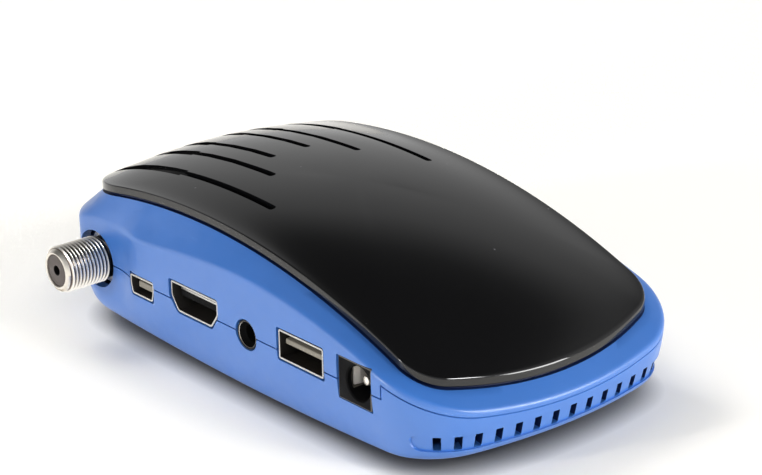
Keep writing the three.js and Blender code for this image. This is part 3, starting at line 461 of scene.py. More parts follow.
# Black plastic for the HDMI tongue; also painted shade in the sockets' bores and inside the AV sleeve.
black_plastic_and_shade = surface("black_plastic_and_painted_shade", paint(12, 12, 13), 0.6)
set_sheen(black_plastic_and_shade, 0.08)
foot_rubber = surface("black_rubber", paint(30, 30, 31), 0.8, grain=0.15, relief=0.01)
pad_silicone = surface("blue_grey_silicone", paint(170, 180, 190), 0.6, grain=0.4, relief=0.01)
print("plastics:", blue_plastic.name, black_plastic.name, black_plastic_and_shade.name)

# %% The cover's gloss, with specks of dust
DUST_SPACING, SPECK_EDGE, SPECK_CORE = 7, 0.035, 0.02
COVER_SHEEN, COVER_GLOSS = 0.6, (0.05, 0.09)
WAVE_SIZE, WAVE_DEPTH = 14, 0.006


def gloss_cover_finish():
    """Black gloss. A speck of dust lies at the middle of each cell of a Voronoi pattern."""
    finish, tree, shader = new_finish("black_gloss_plastic")
    place = object_place(tree)
    shader.inputs["Specular IOR Level"].default_value = COVER_SHEEN
    gloss = spread(tree, noise(tree, place, 9, 4.0), *COVER_GLOSS)
    tree.links.new(gloss, shader.inputs["Roughness"])
    dust = tree.nodes.new("ShaderNodeTexVoronoi")
    dust.inputs["Scale"].default_value = 1 / (DUST_SPACING * MM)
    tree.links.new(place, dust.inputs["Vector"])
    speck = tree.nodes.new("ShaderNodeMapRange")
    speck.inputs["From Min"].default_value = SPECK_EDGE
    speck.inputs["From Max"].default_value = SPECK_CORE
    tree.links.new(dust.outputs["Distance"], speck.inputs["Value"])
    color = two_colors(tree, speck.outputs["Result"], paint(15, 15, 16), paint(90, 90, 93))
    tree.links.new(color, shader.inputs["Base Color"])
    add_bump(tree, shader, noise(tree, place, WAVE_SIZE, 1.0), WAVE_DEPTH)
    return finish


black_gloss = gloss_cover_finish()
print("the cover's finish:", black_gloss.name)

# %% [markdown]
# ### Metals
# Nickel plate is warm and bright, and shows the rings of the lathe. Socket shells are thin plated
# sheet, a little duller. Contacts have a thin layer of gold. A metal's colour lives in its
# reflections, so these finishes differ mostly in their colour and in how far the gloss varies.

# %% Metal finishes
nickel = surface("nickel_plate", paint(240, 234, 224), 0.36, metallic=1, mottle=0.08, patch=1.2,
                 grain=0.2, relief=0.003, roughness_spread=0.06)
plated_steel = surface("plated_steel_sheet", paint(200, 198, 194), 0.3, metallic=1, mottle=0.06,
                       patch=2, stretch=(1, 6, 1))
# Leaf nickel, partly white and diffuse: a painted highlight deep in the jack's mouth.
leaf_nickel_painted_glint = surface("spring_nickel_painted_highlight", paint(246, 242, 236), 0.4, metallic=0.5)
# Painted shade for the insides of the sheet shells and round the aerial socket's flange.
painted_shade_steel = surface("steel_painted_shade", paint(36, 34, 32), 0.5, metallic=0.3, mottle=0.1, patch=2)
gold_contact = surface("gold_flash", paint(222, 188, 118), 0.26, metallic=1, mottle=0.06, patch=2)
tinned_sheet = surface("tinned_sheet", paint(178, 180, 180), 0.4, metallic=1, mottle=0.1, patch=5)
anodised = surface("black_anodised_aluminium", paint(52, 54, 58), 0.42, metallic=0.8)
bare_can = surface("bare_aluminium_can", paint(190, 192, 194), 0.32, metallic=1, stretch=(1, 1, 5))
print("metals:", nickel.name, plated_steel.name, gold_contact.name)

# %% The circuit board's finish
TRACK_SPACING, TRACK_EDGE, TRACK_RELIEF = 3, 0.06, 0.02


def circuit_board_finish():
    """Green solder mask over copper tracks: a brick pattern stands for the tracks."""
    finish, tree, shader = new_finish("green_circuit_board")
    place = object_place(tree)
    tracks = tree.nodes.new("ShaderNodeTexBrick")
    tracks.inputs["Scale"].default_value = 1 / (TRACK_SPACING * MM)
    tracks.inputs["Color1"].default_value = paint(24, 92, 52)
    tracks.inputs["Color2"].default_value = paint(30, 108, 62)
    tracks.inputs["Mortar"].default_value = paint(18, 70, 40)
    tracks.inputs["Mortar Size"].default_value = TRACK_EDGE
    tree.links.new(place, tracks.inputs["Vector"])
    tree.links.new(tracks.outputs["Color"], shader.inputs["Base Color"])
    gloss = spread(tree, noise(tree, place, 4, 2.0), 0.3, 0.42)
    tree.links.new(gloss, shader.inputs["Roughness"])
    add_bump(tree, shader, tracks.outputs["Fac"], TRACK_RELIEF)
    return finish


board_green = circuit_board_finish()
print("the board's finish:", board_green.name)

# %% [markdown]
# ## The case's shape
# Seen from above the case has straight sides, bowed ends and round corners. Seen from the side its
# wall leans in slightly at the foot, runs up to a crease, and turns over a sloped shoulder to the
# cover's rim. The rim is an arc that is highest above the rear third and falls towards the vents.
# These are the same few sizes that the construction uses, in millimetres. The three step counts say
# how finely an outline is drawn, along its ends, round its corners and along its sides.

# %% Sizes of the case and the cover
CASE_LENGTH = 122
COVER_MARGIN = 3.95
upper_low, upper_high = box_of("upper_shell")
CENTRE_X = upper_low[0] + CASE_LENGTH / 2
CENTRE_Y = (upper_low[1] + upper_high[1]) / 2
CASE = {"reach": CASE_LENGTH / 2, "half": (upper_high[1] - upper_low[1]) / 2,
        "bow": 92.8, "front": 15.3, "rear": 17}
COVER = {"reach": CASE["reach"] - COVER_MARGIN, "half": CASE["half"] - COVER_MARGIN,
         "bow": 69.5, "front": 8, "rear": 16}
WALL_Y = CENTRE_Y - CASE["half"]
WALL = 2
COVER_THICKNESS = 1.6
COVER_GAP = 0.3
STAND_HEIGHT = 0.9
BASE_MARGIN = 9.5
RIM_FRONT_HEIGHT, RIM_FALL, RIM_PEAK_SHARE = 14.75, 16.4, -0.215
CROWN_RISE, CROWN_POWER = 3.1, 8
SHOULDER_HEIGHT = 5
SEAM_HEIGHT, SEAM_GAP, SEAM_DROP, SEAM_STEP_SHARE = 14.5, 0.3, 1.75, 0.744
FINE_STEPS, MEDIUM_STEPS, COARSE_STEPS = (24, 14, 70), (12, 10, 30), (4, 6, 20)
OVERRUN = 4
TOP = box_of("top_cover")[1][2] + OVERRUN
print("case centre, mm:", CENTRE_X, CENTRE_Y, "socket wall at", WALL_Y)

# %% The outline seen from above, with the outward direction at each point
def arc_point(x, y, radius, angle):
    out_x, out_y = math.cos(angle), math.sin(angle)
    return (x + radius * out_x, y + radius * out_y, out_x, out_y)


def corner_of(plan, radius):
    """Where a round corner's centre lies, and the angle at which it meets the bowed end."""
    rise = plan["half"] - radius
    reach = plan["bow"] - radius
    x = plan["reach"] - plan["bow"] + math.sqrt(reach ** 2 - rise ** 2)
    return x, rise, math.asin(rise / reach)


def quarter(plan, radius, end_steps, corner_steps):
    """The outline from the middle of a bowed end to the start of the straight side."""
    x, y, angle = corner_of(plan, radius)
    middle = plan["reach"] - plan["bow"]
    points = [arc_point(middle, 0, plan["bow"], angle * step / end_steps) for step in range(end_steps)]
    for step in range(corner_steps + 1):
        share = step / corner_steps
        points.append(arc_point(x, y, radius, angle + (math.pi / 2 - angle) * share))
    return points


def outline(plan, end_steps, corner_steps, side_steps):
    """All round once: each point is (x, y, outward x, outward y)."""
    front = quarter(plan, plan["front"], end_steps, corner_steps)
    rear = [(-x, y, -out_x, out_y) for x, y, out_x, out_y in
            quarter(plan, plan["rear"], end_steps, corner_steps)]
    side = []
    for step in range(1, side_steps):
        x = front[-1][0] + (rear[-1][0] - front[-1][0]) * step / side_steps
        side.append((x, plan["half"], 0, 1))
    half = front + side + rear[::-1]
    mirrored = [(x, -y, out_x, -out_y) for x, y, out_x, out_y in half[1:-1][::-1]]
    return half + mirrored


print("points in the case's finest outline:", len(outline(CASE, *FINE_STEPS)))

# %% Heights along the case
CREASE_DROP_SHARES = [
    (-1, 0.8), (-0.9, 0.93), (-0.74, 1.11), (-0.48, 1.37), (-0.36, 1.37), (-0.25, 1.25),
    (-0.1, 1.05), (0.1, 0.78), (0.3, 0.63), (0.48, 0.54), (0.66, 0.48), (0.76, 0.44),
    (0.88, 0.45), (0.95, 0.48), (1, 0.59),
]
RIM_PEAK_X = RIM_PEAK_SHARE * CASE["reach"]
RIM_SPAN = COVER["reach"] - RIM_PEAK_X
RIM_RADIUS = (RIM_SPAN ** 2 + RIM_FALL ** 2) / (2 * RIM_FALL)
LOWER_EDGE, LOWER_EDGE_RISE, LOWER_EDGE_MIDDLE = 1.2, 3.95, 0.08
LEAN_START, LEAN_RADIUS = 16.5, 36


def curve_at(table, place):
    """A smooth curve through a table of (place, value)."""
    last = len(table) - 1
    place = min(max(place, table[0][0]), table[last][0])
    after = max(1, next(index for index, row in enumerate(table) if row[0] >= place))

    def slope(index):
        low, high = table[max(index - 1, 0)], table[min(index + 1, last)]
        return (high[1] - low[1]) / (high[0] - low[0])

    (start, first), (end, second) = table[after - 1], table[after]
    span = end - start
    share = (place - start) / span
    start_pull, end_pull = slope(after - 1) * span, slope(after) * span
    bend = 2 * (first - second) + start_pull + end_pull
    lean = 3 * (second - first) - 2 * start_pull - end_pull
    return first + share * (start_pull + share * (lean + share * bend))


print("radius of the rim's arc, mm:", RIM_RADIUS)

# %% Heights of the rim, the crease, the lower edge and the crown
def rim_height(x):
    fall = RIM_RADIUS - math.sqrt(RIM_RADIUS ** 2 - (x - RIM_PEAK_X) ** 2)
    return RIM_FRONT_HEIGHT + RIM_FALL - fall


def crease_height(x):
    """The crease under the shoulder, measured down from the rim beside it."""
    share = x / CASE["reach"]
    return rim_height(share * COVER["reach"]) - SHOULDER_HEIGHT * curve_at(CREASE_DROP_SHARES, share)


def lower_edge_height(x):
    """The edge under the wall, a little higher towards both ends."""
    return LOWER_EDGE + LOWER_EDGE_RISE * (x / CASE["reach"] - LOWER_EDGE_MIDDLE) ** 2


def wall_inset(z):
    """How far the wall leans in at a height, on an arc that starts under the crease."""
    return max(0, LEAN_START - z) ** 2 / (2 * LEAN_RADIUS)


def crown_height(share, x, y):
    """The dome: nearly level up to a share of 1, where it rolls off to the rim."""
    side_fall = 1 - (y / COVER["half"]) ** 2
    return rim_height(x) + CROWN_RISE * (1 - share ** CROWN_POWER) * side_fall


def crown_point(rim, share, lift):
    x, y = share * rim[0], share * rim[1]
    return (x, y, crown_height(share, x, y) + lift)


def in_place(rings):
    return [[(x + CENTRE_X, y + CENTRE_Y, z) for x, y, z in ring] for ring in rings]


print("rim over the vents and at its peak, mm:", rim_height(COVER["reach"]), rim_height(RIM_PEAK_X))

# %% [markdown]
# ## The case as one body
# The two shells are halves of one moulded form, so the form is modelled once and split afterwards.
# For each point of the outline a profile is worked out: from the flat base, round the lower edge, up
# the wall, over the crease and the shoulder, and in under the cover. Read across, the profiles are
# rings, and one plate extruded from ring to ring is the whole body. A rounded edge is the curve that
# a corner point pulls towards itself. Just inside the shoulder a narrow groove runs all round, and
# the cover's rim hangs over it.

# %% Curves and places between two points
def mixed(first, second, share):
    """The place a share of the way from the first to the second."""
    return tuple(a + (b - a) * share for a, b in zip(first, second))


def bend(start, corner, end, steps):
    """A curve from start to end that the corner point pulls towards itself."""
    shares = [step / steps for step in range(steps + 1)]
    return [mixed(mixed(start, corner, t), mixed(corner, end, t), t) for t in shares]


def toward(start, end, distance):
    """The place a distance away from the start, on the line to the end."""
    length = math.dist(start, end)
    return mixed(start, end, distance / length)


print("halfway on a bend round a square corner:", bend((0, 0), (1, 0), (1, 1), 2)[1])

# %% Profiles of the case, outside and inside
EDGE_ROUND, CREASE_ROUND, CREASE_TUCK = 1.4, 0.9, 0.35
CREASE_LEAN, CREASE_DIP = 0.08, 0.1
RIM_GROOVE_DROP, RIM_GROOVE_WIDTH = 0.3, 1
DECK_SHARES = (0.96, 0.9, 0.8, 0.65, 0.45, 0.2)
LAND_DEPTH, LAND_RAMP, LAND_END_SHARE = 1.4, 9, -0.6


def on_land(point, depth):
    """The wall's place, drawn in to the flat land that the aerial socket stands on."""
    x, y, z = point
    way = min(1, max(0, (LAND_END_SHARE * CASE["reach"] + LAND_RAMP - x) / LAND_RAMP))
    land = -CASE["half"] + LAND_DEPTH * way * way * (3 - 2 * way) + depth
    return (x, max(y, land), z)


def case_profile(side, rim, depth, wall_steps, round_steps):
    """Places from base to crown on one line of the case, drawn in by a depth from the outside."""
    x, y, out_x, out_y = side

    def at(inset, z):
        return on_land((x - out_x * inset, y - out_y * inset, z), depth)

    edge, crease = lower_edge_height(x) + depth, crease_height(x) - depth / 3
    base = at(BASE_MARGIN, STAND_HEIGHT + depth)
    foot = at(wall_inset(edge - depth) + depth, edge)
    wall_low = edge + EDGE_ROUND
    wall_high = crease - CREASE_ROUND - depth / 6

    def under_rim(inset):
        return (rim[0] - rim[2] * (inset + depth / 2), rim[1] - rim[3] * (inset + depth / 2),
                rim_height(rim[0]) - COVER_GAP - RIM_GROOVE_DROP - depth)

    ledge = under_rim(0)
    shoulder = at(CREASE_TUCK + depth, crease)
    wall_points = []
    for step in range(1, wall_steps):
        z = wall_low + (wall_high - wall_low) * step / wall_steps
        wall_points.append(at(wall_inset(z) + depth, z))
    return [
        base,
        *bend(toward(foot, base, EDGE_ROUND), foot, at(wall_inset(wall_low) + depth, wall_low),
              round_steps),
        *wall_points,
        *bend(at(wall_inset(wall_high) + depth, wall_high),
              at(depth + CREASE_LEAN, crease - CREASE_DIP),
              toward(shoulder, ledge, CREASE_ROUND), round_steps),
        mixed(shoulder, ledge, 0.6),
        ledge,
        under_rim(RIM_GROOVE_WIDTH),
        *[crown_point(rim, share, -COVER_GAP - depth) for share in DECK_SHARES],
    ]


# %% The body outside, and the room inside it
def case_body(depth, end_steps, corner_steps, side_steps, wall_steps, round_steps):
    """The whole case as one closed skin, drawn in by a depth from the outside."""
    sides = outline(CASE, end_steps, corner_steps, side_steps)
    rims = outline(COVER, end_steps, corner_steps, side_steps)
    profiles = [case_profile(side, rim, depth, wall_steps, round_steps)
                for side, rim in zip(sides, rims)]
    rings = in_place(list(zip(*profiles)))
    pole = (CENTRE_X, CENTRE_Y, crown_height(0, 0, 0) - COVER_GAP - depth)
    return skin(rings, pole)


outside = case_body(0, *FINE_STEPS, wall_steps=12, round_steps=5)
hollow = case_body(WALL, *COARSE_STEPS, wall_steps=3, round_steps=2)
print("case body:", len(outside.data.polygons), "faces, hollow:", len(hollow.data.polygons))

# %% [markdown]
# ## Splitting the body along its seam
# The seam runs level round the sockets, steps up just past the power jack, and follows the crease
# round the vented end. Its shape in side view is one outline, pushed across the whole case: what lies
# above it is the upper shell's. The lower shell keeps a thin lip inside the seam, which locates the
# two halves and stops light shining through the gap.

# %% The side of the seam that belongs to the upper shell
def seam_region(lift):
    """Everything above the seam, as one prism right across the case."""
    step = SEAM_STEP_SHARE * CASE["reach"] - lift
    points = [(-CASE["reach"] - OVERRUN, SEAM_HEIGHT + lift), (step, SEAM_HEIGHT + lift)]
    follow_steps = 24
    for index in range(follow_steps + 1):
        x = step + (CASE["reach"] + OVERRUN - step) * index / follow_steps
        points.append((x, crease_height(min(x, CASE["reach"])) - SEAM_DROP + lift))
    points += [(CASE["reach"] + OVERRUN, TOP), (-CASE["reach"] - OVERRUN, TOP)]
    moved = [(x + CENTRE_X, z) for x, z in points]
    return sideways_prism(moved, WALL_Y - OVERRUN, WALL_Y + 2 * CASE["half"] + OVERRUN)


def inner_column(inset, low):
    """An upright core inside the wall, which the lip is cut back to."""
    sides = outline(CASE, *COARSE_STEPS)
    points = [(x - out_x * inset + CENTRE_X, y - out_y * inset + CENTRE_Y)
              for x, y, out_x, out_y in sides]
    return upward_prism(points, low, TOP)


print("the seam steps up at x, mm:", SEAM_STEP_SHARE * CASE["reach"] + CENTRE_X)

# %% Two halves from one body
shading_guide = copy_of(outside)
upper_case = copy_of(outside)
lower_case = outside
keep_inside(upper_case, seam_region(SEAM_GAP))
cut(upper_case, copy_of(hollow))
cut(lower_case, seam_region(0), copy_of(hollow))
print("halves:", len(lower_case.data.polygons), len(upper_case.data.polygons))

# %% [markdown]
# ## Openings for the sockets
# Each socket looks out through its own opening in the long wall, a little larger than its metal shell.
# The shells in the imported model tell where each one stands, so an opening is worked out from its
# socket's box. The plain sockets have rectangular openings, and the mini-USB and HDMI outlines draw in
# below.

# %% Outlines of the sockets, seen from the front
CLEARANCE = 0.3
SHEET = 0.35
SHOWN_GAP = 0.12


def wide_top(node, top_width, bottom_width, height, shoulder):
    """Corners of a socket's opening, with upright sides above and drawn-in sides below."""
    x, top = middle_of(node)[0], box_of(node)[1][2] + CLEARANCE
    middle = top - height * shoulder
    return [
        (x - bottom_width / 2, top - height), (x + bottom_width / 2, top - height),
        (x + top_width / 2, middle), (x + top_width / 2, top),
        (x - top_width / 2, top), (x - top_width / 2, middle),
    ]


def moved_in(corners, distance):
    """An anticlockwise convex outline with each of its sides moved inward."""
    moved = []
    for index, corner in enumerate(corners):
        corner, before, after = (Vector(corners[place % len(corners)])
                                 for place in (index, index - 1, index + 1))
        along = (corner - before).normalized() + (after - corner).normalized()
        inward = Vector((-along.y, along.x))
        moved.append(tuple(corner + inward * 2 * distance / inward.length_squared))
    return moved


APART = 0.01


def rounded(corners, radius, steps=5):
    """Rounded corners. A radius of nearly half a side, but APART less, keeps all points different."""
    points = []
    for index, corner in enumerate(corners):
        before, after = corners[index - 1], corners[(index + 1) % len(corners)]
        points += bend(toward(corner, before, radius), corner, toward(corner, after, radius), steps)
    return points


def upright(node, height):
    """Corners of a rectangular opening that hangs from just above a socket's top."""
    low, high = box_of(node)
    left, right, top = low[0] - CLEARANCE, high[0] + CLEARANCE, high[2] + CLEARANCE
    return [(left, top - height), (right, top - height), (right, top), (left, top)]


HDMI_HEIGHT = 6.5
mini_corners = wide_top("mini_usb_shell", top_width=8.28, bottom_width=7.05, height=4.64, shoulder=0.5)
hdmi_corners = wide_top("hdmi_shell", top_width=15.4, bottom_width=10.9, height=HDMI_HEIGHT,
                        shoulder=0.53)
usb_corners = upright("usb_shell", height=6.4)
dc_corners = upright("dc_jack_housing", height=8.7)
print("openings, mm:", mini_corners[0], hdmi_corners[0], usb_corners[0], dc_corners[0])

# %% Cut the openings in both halves
AERIAL_HOLE, AERIAL_DEPTH, AV_HOLE, AV_DEPTH = 5.95, 5.7, 3.15, 4.3
MINI_DEPTH, HDMI_DEPTH, USB_DEPTH, DC_DEPTH = 9, 11, 14, 14


def axis_of(node):
    """The x and z of the line along y through a piece's middle."""
    middle = middle_of(node)
    return middle[0], middle[2]


aerial = axis_of("f_connector_body")
av_jack = axis_of("av_sleeve_contact")


def opening(corners, radius, depth, gap=SHOWN_GAP):
    """A round-cornered block from in front of the wall to a little behind the socket's back."""
    points = rounded(moved_in(corners, -gap) if gap else corners, radius)
    return sideways_prism(points, WALL_Y - OVERRUN, WALL_Y + depth + CLEARANCE)


def opening_tools():
    start = WALL_Y - OVERRUN
    return [
        rod("Y", aerial, AERIAL_HOLE, start, WALL_Y + AERIAL_DEPTH, 64),
        opening(mini_corners, 0.5, MINI_DEPTH),
        opening(hdmi_corners, 0.7, HDMI_DEPTH),
        rod("Y", av_jack, AV_HOLE, start, WALL_Y + AV_DEPTH, 64),
        opening(usb_corners, 0.6, USB_DEPTH),
        opening(dc_corners, 0.35, DC_DEPTH, gap=0),
    ]


for half in (lower_case, upper_case):
    cut(half, *opening_tools())
print("with openings:", len(lower_case.data.polygons), len(upper_case.data.polygons))

# %% [markdown]
# ## Inside the halves
# The lower half carries round columns: four bosses for the case screws and four standoffs under the
# main board. The upper half reaches down to the bosses with four posts. Outside, the base has pockets
# for the feet and wider holes for the screws' heads. Every column is trimmed by a slightly smaller
# copy of the body, so it grows out of the wall's inside whatever the wall's slope.

# %% Columns, screw holes and pockets
def place_of(share):
    return share[0] * CASE["reach"] + CENTRE_X, share[1] * CASE["half"] + CENTRE_Y


def places_of(*shares):
    return [place_of(share) for share in shares]


SCREW_PLACES = places_of((0.77, -0.515), (0.77, 0.515), (-0.755, 0.5), (-0.787, -0.06))
FOOT_PLACES = places_of((0.59, -0.545), (0.59, 0.545), (-0.59, 0.545), (-0.59, -0.545))
STANDOFF_PLACES = places_of((0.56, 0.66), (-0.46, 0.66), (0.54, -0.6), (-0.46, -0.42))
BOSS_TOP, BOARD_HEIGHT, SCREW_SEAT = 9.4, 10, STAND_HEIGHT + 2.3
BOSS_RADIUS, POST_RADIUS, STANDOFF_RADIUS = 3.6, 3, 3
SCREW_HOLE, HEAD_HOLE, BOARD_SCREW_HOLE = 1.6, 2.9, 1.4
BOARD_SCREW_END, POST_HOLE_END = 5.3, SCREW_SEAT + 14
POCKET_RADIUS, POCKET_DEPTH = 4.8, 0.8


def rods(places, radius, low, high, steps=32):
    return [rod("Z", place, radius, low, high, steps) for place in places]


middle_form = case_body(WALL / 2, *COARSE_STEPS, wall_steps=3, round_steps=2)
bosses = rods(SCREW_PLACES, BOSS_RADIUS, -OVERRUN, BOSS_TOP)
standoffs = rods(STANDOFF_PLACES, STANDOFF_RADIUS, -OVERRUN, BOARD_HEIGHT - 0.05)
add(lower_case, keep_inside(joined(bosses + standoffs), copy_of(middle_form)))
cut(
    lower_case,
    joined(rods(SCREW_PLACES, SCREW_HOLE, -OVERRUN, BOSS_TOP + OVERRUN)),
    joined(rods(SCREW_PLACES, HEAD_HOLE, -OVERRUN, SCREW_SEAT)),
    joined(rods(STANDOFF_PLACES[:2], BOARD_SCREW_HOLE, BOARD_SCREW_END, BOARD_HEIGHT + OVERRUN)),
    joined(rods(FOOT_PLACES, POCKET_RADIUS, -OVERRUN, STAND_HEIGHT + POCKET_DEPTH, 48)),
)
posts = joined(rods(SCREW_PLACES, POST_RADIUS, BOSS_TOP + CLEARANCE, TOP))
add(upper_case, keep_inside(posts, copy_of(middle_form)))
cut(upper_case, joined(rods(SCREW_PLACES, SCREW_HOLE, BOSS_TOP, POST_HOLE_END)))
print("with columns:", len(lower_case.data.polygons), len(upper_case.data.polygons))

# %% [markdown]
# ## The vented end
# A shallow strip with half-round ends runs round the end of the lower shell, and fifteen upright slots
# go through its floor. The strip is what lies outside a smaller copy of the wall, so its depth is even
# all the way round the bow. Each slot is one small block, turned to face out from the bow.

# %% The strip and its slots
STRIP_LOW, STRIP_HIGH, STRIP_DEPTH = 5.5, 8.7, 0.4
STRIP_START = 0.8164 * CASE["reach"] + CENTRE_X
STRIP_STEPS = (24, 14, 20)
VENT_COUNT, VENT_PITCH, VENT_WIDTH, VENT_HEIGHT, VENT_REACH = 15, 4.24, 1.5, 2.95, 4


def strip_tool():
    reach = CASE["reach"] + CENTRE_X + OVERRUN
    corners = [(STRIP_START, STRIP_LOW), (reach, STRIP_LOW),
               (reach, STRIP_HIGH), (STRIP_START, STRIP_HIGH)]
    start, end = WALL_Y - OVERRUN, WALL_Y + 2 * CASE["half"] + OVERRUN
    slab = sideways_prism(rounded(corners, (STRIP_HIGH - STRIP_LOW) / 2 - APART), start, end)
    rings = []
    for z in [STRIP_LOW - 2 + step for step in range(8)]:
        inset = wall_inset(z) + STRIP_DEPTH
        rings.append([(x - out_x * inset, y - out_y * inset, z)
                      for x, y, out_x, out_y in outline(CASE, *STRIP_STEPS)])
    return cut(slab, skin(in_place(rings)))


def along_vented_end(distance):
    """The outline's point at a distance round from the middle of the vented end."""
    x, y, end_angle = corner_of(CASE, CASE["front"])
    side, beyond = math.copysign(1, distance), abs(distance) - end_angle * CASE["bow"]
    if beyond > 0:
        point = arc_point(x, y, CASE["front"], end_angle + beyond / CASE["front"])
    else:
        point = arc_point(CASE["reach"] - CASE["bow"], 0, CASE["bow"], abs(distance) / CASE["bow"])
    return point[0], side * point[1], point[2], side * point[3]


def vent_places():
    """The outline's place and outward direction at each vent slot."""
    return [along_vented_end((index - (VENT_COUNT - 1) / 2) * VENT_PITCH) for index in range(VENT_COUNT)]


def vent_tools():
    first = bevelled(block((-VENT_REACH, -VENT_WIDTH / 2, -VENT_HEIGHT / 2),
                           (VENT_REACH, VENT_WIDTH / 2, VENT_HEIGHT / 2)), 0.25, 2)
    height = (STRIP_LOW + STRIP_HIGH) / 2
    slots = []
    for x, y, out_x, out_y in vent_places():
        slot = copy_of(first)
        place = Vector((x - out_x * WALL + CENTRE_X, y - out_y * WALL + CENTRE_Y, height)) * MM
        turn = Matrix.Rotation(math.atan2(out_y, out_x), 4, "Z")
        slot.matrix_world = Matrix.Translation(place) @ turn
        slots.append(settle(slot))
    bpy.data.meshes.remove(first.data)
    return joined(slots)


cut(lower_case, strip_tool(), vent_tools())
print("with vents:", len(lower_case.data.polygons))

# %% [markdown]
# ## The lip inside the seam
# A thin lip stands on the lower shell, 1.15 mm in from the outside, and the upper shell has a rebate
# that goes over it. It shows as the dark floor of the seam.

# %% Lip and rebate
LIP_HEIGHT, LIP_OUTER = 1, 1.15


def lip_band(lift):
    """The seam's own height range, lift higher at its top."""
    band = cut(seam_region(-WALL), seam_region(LIP_HEIGHT + lift))
    return cut(band, inner_column(WALL + 1, -OVERRUN))


def lip_form(depth):
    return case_body(depth, *MEDIUM_STEPS, wall_steps=6, round_steps=3)


lip = cut(lip_form(LIP_OUTER), copy_of(hollow))
add(lower_case, keep_inside(lip, lip_band(0)))
cut(lower_case, *opening_tools())
cut(upper_case, keep_inside(lip_form(LIP_OUTER - CLEARANCE), lip_band(SEAM_GAP)))
print("with the lip:", len(lower_case.data.polygons), len(upper_case.data.polygons))

# %% [markdown]
# ## The cover
# The cover is a thin domed tray. Its skin is raised like the body's, from the middle of its underside
# out to the rim, up over a small edge round and back in across the crown. The crown is nearly level
# across and rolls off close to the rim, so its rings crowd together there.

# %% The cover's skin
COVER_SHARES = (0.99, 0.975, 0.955, 0.93, 0.9, 0.85, 0.78, 0.7, 0.6, 0.48, 0.34, 0.18)
EDGE, UNDER_EDGE, EDGE_SHARE = 0.45, 0.15, 0.0075


def cover_profile(rim):
    """Places from the middle of the cover's underside, round its rim, to the middle of its top."""
    x, y, out_x, out_y = rim
    low = rim_height(x)
    high = low + COVER_THICKNESS

    def inset(distance, z):
        return (x - out_x * distance, y - out_y * distance, z)

    crown_start = crown_point(rim, 1 - EDGE_SHARE, COVER_THICKNESS)
    edge = bend(inset(0, high - EDGE), inset(0, high), crown_start, 4)
    return [
        *[crown_point(rim, share, 0) for share in reversed(COVER_SHARES)],
        inset(UNDER_EDGE, low), inset(0, low + UNDER_EDGE), *edge,
        *[crown_point(rim, share, COVER_THICKNESS) for share in COVER_SHARES],
    ]


def cover_skin():
    rings = in_place(list(zip(*[cover_profile(rim) for rim in outline(COVER, *FINE_STEPS)])))
    return skin(rings, (CENTRE_X, CENTRE_Y, crown_height(0, 0, 0) + COVER_THICKNESS))


cover = cover_skin()
cover_guide = copy_of(cover)
print("cover:", len(cover.data.polygons), "faces")

# %% [markdown]
# ## Air slots in the cover
# Six slots lie across the dome. Each is open where it is over the deck's window, and goes on towards
# the rear as a closed groove. The open part is a round-ended prism pushed through the cover. The
# groove's floor follows the crown at an even depth.

# %% Slots, grooves and the windows under them
SLOT_SHARES = [
    (0.591, -0.016, -0.525, -0.86), (0.323, -0.2, -0.656, -0.87), (0.132, -0.331, -0.705, -0.88),
]
SLOT_WIDTH, GROOVE_WIDTH, GROOVE_DEPTH, WINDOW_WIDTH = 1.6, 2.4, 0.9, 2.4
GROOVE_STEPS = 16


def crown_at(x, y):
    """The crown's height over a place, found along the line from the middle to the rim."""
    angle = math.atan2(y, x)

    def beside(side):
        return abs(math.remainder(math.atan2(side[1], side[0]) - angle, 2 * math.pi))

    rim = min(outline(COVER, *FINE_STEPS), key=beside)
    share = math.hypot(x, y) / math.hypot(rim[0], rim[1])
    return crown_height(share, x, y)


def slot_tool(side, front, open_end, width):
    """A round-ended slot through the cover, or a wider window through the deck."""
    y = side * CASE["half"] + CENTRE_Y
    low, high = open_end * CASE["reach"] + CENTRE_X, front * CASE["reach"] + CENTRE_X
    corners = [(low, y - width / 2), (high, y - width / 2),
               (high, y + width / 2), (low, y + width / 2)]
    return upward_prism(rounded(corners, width / 2 - APART, 6), SEAM_HEIGHT, TOP)


def groove_tool(side, open_end, rear):
    """The closed rear part of a slot, with a floor that follows the crown."""
    y = side * CASE["half"]
    low, high = rear * CASE["reach"], open_end * CASE["reach"] + GROOVE_WIDTH
    floor = []
    for step in range(GROOVE_STEPS + 1):
        x = low + (high - low) * step / GROOVE_STEPS
        floor.append((x + CENTRE_X, crown_at(x, y) + COVER_THICKNESS - GROOVE_DEPTH))
    points = floor + [(high + CENTRE_X, TOP), (low + CENTRE_X, TOP)]
    return sideways_prism(points, y - GROOVE_WIDTH / 2 + CENTRE_Y, y + GROOVE_WIDTH / 2 + CENTRE_Y)


print("height of the crown over the case's middle, mm:", crown_at(0, 0) + COVER_THICKNESS)

# %% Cut them in the cover and the deck
both_sides = [(sign * side, front, open_end, rear)
              for side, front, open_end, rear in SLOT_SHARES for sign in (-1, 1)]


def all_slots(width):
    return joined([slot_tool(side, front, open_end, width)
                   for side, front, open_end, rear in both_sides])


def all_grooves():
    return joined([groove_tool(side, open_end, rear) for side, front, open_end, rear in both_sides])


cut(cover, all_slots(SLOT_WIDTH))
cut(cover, all_grooves())
cut(upper_case, all_slots(WINDOW_WIDTH))
print("cover with slots:", len(cover.data.polygons))

# %% Clips under the cover and their holes in the deck
CLIP_HALF_WIDTH, CLIP_HALF_THICKNESS, HOOK_REACH, HOOK_HEIGHT = 2, 0.6, 0.6, 1
CLIP_SHARES = ((0.2, -0.75), (0.2, 0.75), (-0.6, 0.75), (-0.6, -0.75))


